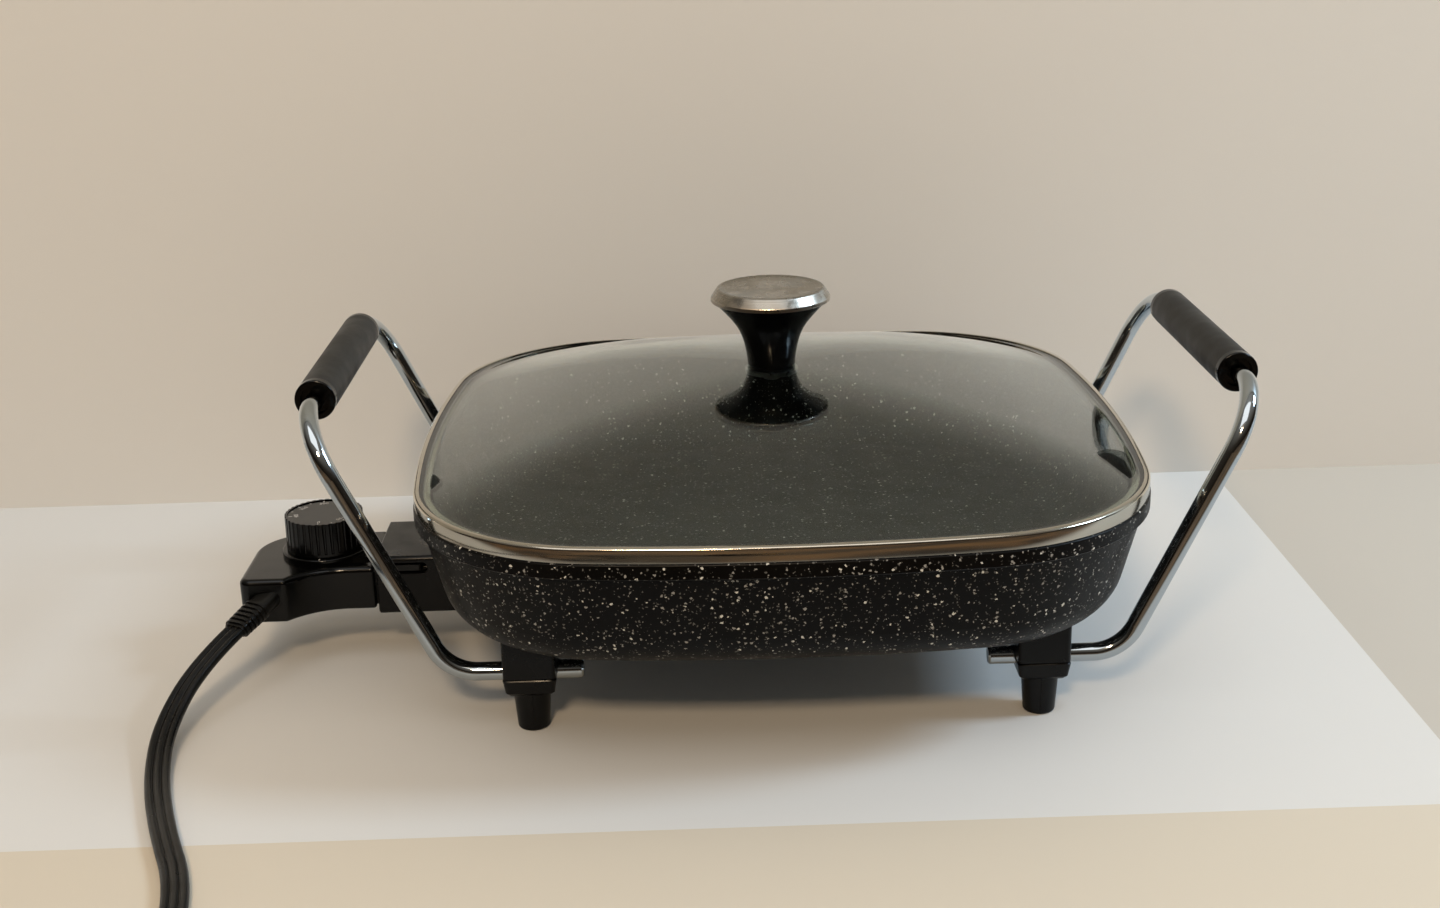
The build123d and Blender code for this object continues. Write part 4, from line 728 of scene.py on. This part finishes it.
def join_prints(marks, name, body):
    """Several prints made one piece that rides on a body."""
    bpy.ops.object.select_all(action="DESELECT")
    for mark in marks:
        mark.select_set(True)
    bpy.context.view_layer.objects.active = marks[0]
    bpy.ops.object.join()
    marks[0].name = name
    marks[0].data.materials.clear()
    marks[0].data.materials.append(ink)
    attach(marks[0], body)
    bpy.ops.object.select_all(action="DESELECT")


ink = make_ink()
dial_low, dial_high = (Vector(corner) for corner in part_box("dial"))
dial_middle = (dial_low + dial_high) / 2
face = Vector((dial_middle.x, dial_middle.y, dial_high.z - FACE_DEPTH + INK_THICKNESS / 2))
pitch = DIAL_RANGE / (len(DIAL_NUMBERS) - 1)
marks = []
for order, number in enumerate(DIAL_NUMBERS):
    angle = INDEX_ANGLE + pitch * order
    marks.append(print_mark(face, angle, NUMBER_RADIUS, text=number))
    marks.append(print_mark(face, angle, TICK_RADIUS, length=TICK_LENGTH))
    if order:
        marks.append(print_mark(face, angle - pitch / 2, TICK_RADIUS, length=HALF_TICK_LENGTH))
join_prints(marks, "dial_numbers", "dial")

collar_top = Vector(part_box("control_top_case")[1]).z
index_at = Vector((dial_middle.x, dial_middle.y, collar_top + INK_THICKNESS / 2))
index_out = (dial_high.x - dial_low.x) / 2 + INDEX_LENGTH / 2
index_mark = print_mark(index_at, INDEX_ANGLE, index_out, length=INDEX_LENGTH)
join_prints([index_mark], "collar_index", "heat_control")

# ---------------------------------------------------------------- stage, light and camera
WALL_Y = 0.205                 # in metres, like all of the stage
STAGE_REACH = 4.0
WALL_HEIGHT = 3.0
ROOM_REFLECTION_EDGE = (-0.19, -0.26)    # in front of this line the floor shows mirrors a painted reflection of a dim room, and not the table
WALL_REFLECTION_EDGE = (0.13, 0.33)      # and above this height the wall shows mirrors painted shade
REFLECTED_PATCH_SIZE = 0.15            # of the patches of that painted room reflection
REFLECTED_PATCH_SPREAD = (0.4, 0.65)
BOARD_FRONT_Y = -0.186         # the part stands on a white board, flush with a warmer strip in front and a darker strip of painted shade beside it
BOARD_END_X = PAN_X + 0.268
ROOM_STRENGTH = 0.45


def add_sheet(name, colour, painted_reflection, axis, edge, corners):
    """A painted sheet of the stage, clear from behind, which shows mirrors a painted reflection: one
    colour before an edge, painted patches past it.
    """
    mesh = bpy.data.meshes.new(name)
    mesh.from_pydata(corners, [], [(0, 1, 2, 3)])
    sheet = bpy.data.objects.new(name, mesh)
    bpy.context.scene.collection.objects.link(sheet)
    material, shader, at = new_material(name, Roughness=0.6, Specular_IOR_Level=0.3)
    tree = material.node_tree
    near, reflected_patch_dark, reflected_patch_light = (linear(shade) for shade in painted_reflection)
    place = add_node(tree, "ShaderNodeSeparateXYZ", inputs={"Vector": at})
    away = add_node(
        tree,
        "ShaderNodeMapRange",
        inputs={"Value": place.outputs[axis], "From Min": edge[0], "From Max": edge[1]},
    )
    reflected_clutter = add_node(
        tree, "ShaderNodeTexNoise", inputs={"Vector": at, "Scale": 1 / REFLECTED_PATCH_SIZE, "Detail": 1.0}
    )
    spread = add_node(
        tree,
        "ShaderNodeMapRange",
        inputs={
            "Value": reflected_clutter.outputs["Fac"],
            "From Min": REFLECTED_PATCH_SPREAD[0],
            "From Max": REFLECTED_PATCH_SPREAD[1],
        },
    )
    reflected_patches = add_node(
        tree,
        "ShaderNodeMixRGB",
        inputs={"Fac": spread.outputs["Result"], "Color1": reflected_patch_dark, "Color2": reflected_patch_light},
    )
    painted_reflection_colour = add_node(
        tree,
        "ShaderNodeMixRGB",
        inputs={"Fac": away.outputs["Result"], "Color1": near, "Color2": reflected_patches.outputs["Color"]},
    )
    # glossy rays see the painted reflection colours instead of the sheet's own colour
    rays = add_node(tree, "ShaderNodeLightPath")
    add_node(
        tree,
        "ShaderNodeMixRGB",
        inputs={
            "Fac": rays.outputs["Is Glossy Ray"],
            "Color1": linear(colour),
            "Color2": painted_reflection_colour.outputs["Color"],
        },
        to=shader.inputs["Base Color"],
    )
    side = add_node(tree, "ShaderNodeNewGeometry")
    clear = add_node(tree, "ShaderNodeBsdfTransparent")
    add_node(
        tree,
        "ShaderNodeMixShader",
        inputs={0: side.outputs["Backfacing"], 1: shader.outputs["BSDF"], 2: clear.outputs["BSDF"]},
        to=tree.nodes["Material Output"].inputs["Surface"],
    )
    mesh.materials.append(material)


for name, colour, low_x, high_x, low_y, high_y in (
    ("painted_board", "#dcdad5", -STAGE_REACH, BOARD_END_X, BOARD_FRONT_Y, STAGE_REACH),
    ("strip_before_board", "#d6cbb8", -STAGE_REACH, STAGE_REACH, -STAGE_REACH, BOARD_FRONT_Y),
    # painted shade: a flat strip standing in for a side wall, coloured darker as that wall looks in less
    # light
    ("side_wall_strip_painted_shade", "#c5beb2", BOARD_END_X, STAGE_REACH, BOARD_FRONT_Y, STAGE_REACH),
):
    # painted reflection for the floor: pale grey behind the edge, and in front of it a dim room of dark
    # brown patches
    add_sheet(
        name,
        colour,
        ("#bfc0be", "#2c2926", "#70563a"),
        "Y",
        ROOM_REFLECTION_EDGE,
        [(low_x, low_y, 0), (high_x, low_y, 0), (high_x, high_y, 0), (low_x, high_y, 0)],
    )
# painted reflection for the wall: paler than the wall below the edge, and painted shade above it
add_sheet(
    "pale_wall",
    "#dcd8d1",
    ("#f2f1ee", "#a6a6a0", "#a6a6a0"),
    "Z",
    WALL_REFLECTION_EDGE,
    [
        (-STAGE_REACH, WALL_Y, 0),
        (STAGE_REACH, WALL_Y, 0),
        (STAGE_REACH, WALL_Y, WALL_HEIGHT),
        (-STAGE_REACH, WALL_Y, WALL_HEIGHT),
    ],
)


def add_lamp(name, place, target, size, power, colour):
    """A rectangular lamp at a place, turned to its target, with its power in watts."""
    lamp = bpy.data.lights.new(name, "AREA")
    lamp.shape = "RECTANGLE"
    lamp.size, lamp.size_y = size
    lamp.energy = power
    lamp.color = linear(colour)[:3]
    stand = bpy.data.objects.new(name, lamp)
    stand.location = place
    stand.rotation_euler = (Vector(target) - Vector(place)).to_track_quat("-Z", "Y").to_euler()
    bpy.context.scene.collection.objects.link(stand)


for name, place, target, size, power, colour in (
    ("warm_lamp", (-0.25, -1.62, 1.32), (-0.1, 0.0, 0.1), (0.28, 0.2), 15, "#ffe0b9"),
    ("window_light", (1.57, -0.16, 1.26), (0.1, 0.0, 0.1), (0.4, 0.55), 21, "#cfe8ff"),
    ("ceiling_bounce", (-0.2, -1.0, 2.2), (0.0, 0.0, 0.0), (2.2, 1.4), 12, "#fdfeff"),
):
    add_lamp(name, place, target, size, power, colour)


def make_room():
    """A room whose lower walls are dim and whose ceiling is pale, for metal and glass to reflect."""
    world = bpy.data.worlds.new("kitchen")
    bpy.context.scene.world = world
    world.use_nodes = True
    tree = world.node_tree
    towards = add_node(tree, "ShaderNodeTexCoord").outputs["Generated"]
    parts = add_node(tree, "ShaderNodeSeparateXYZ", inputs={"Vector": towards})
    room = add_node(
        tree,
        "ShaderNodeValToRGB",
        inputs={"Fac": parts.outputs["Z"]},
        stops=((0.0, "#2a221a"), (0.25, "#4a4138"), (0.5, "#8c857b"), (1.0, "#d4d0c9")),
    )
    rays = add_node(tree, "ShaderNodeLightPath")
    background = tree.nodes["Background"]
    background.inputs["Strength"].default_value = ROOM_STRENGTH
    add_node(
        tree,
        "ShaderNodeMixRGB",
        inputs={
            "Fac": rays.outputs["Is Glossy Ray"],
            "Color1": linear("#d2d1cd"),
            "Color2": room.outputs["Color"],
        },
        to=background.inputs["Color"],
    )


make_room()

CAMERA_PLACE = (-34.4, -798.8, 358.1)    # millimetres from the middle of the pan
CAMERA_YAW = math.radians(0.692)
CAMERA_PITCH = math.radians(18.612)
CAMERA_ROLL = math.radians(-1.548)
IMAGE_WIDTH = 1440             # in pixels
FOCAL_LENGTH = 1807.479        # in pixels of the image
SENSOR_WIDTH = 36.0
NEAREST = 10 * MM


def add_camera():
    """The camera, from its place, where it points and its roll."""
    forward = Vector(
        (
            math.sin(CAMERA_YAW) * math.cos(CAMERA_PITCH),
            math.cos(CAMERA_YAW) * math.cos(CAMERA_PITCH),
            -math.sin(CAMERA_PITCH),
        )
    )
    level_right = Vector((math.cos(CAMERA_YAW), -math.sin(CAMERA_YAW), 0))
    level_up = level_right.cross(forward)
    right = level_right * math.cos(CAMERA_ROLL) + level_up * math.sin(CAMERA_ROLL)
    up = level_up * math.cos(CAMERA_ROLL) - level_right * math.sin(CAMERA_ROLL)
    lens = bpy.data.cameras.new("camera")
    lens.sensor_width = SENSOR_WIDTH
    lens.lens = FOCAL_LENGTH / IMAGE_WIDTH * SENSOR_WIDTH
    lens.clip_start = NEAREST
    camera = bpy.data.objects.new("camera", lens)
    turn = Matrix((right, up, -forward)).transposed().to_4x4()
    camera.matrix_world = Matrix.Translation(from_pan(*CAMERA_PLACE)) @ turn
    bpy.context.scene.collection.objects.link(camera)
    bpy.context.scene.camera = camera


add_camera()
bpy.context.scene.view_settings.view_transform = "Standard"
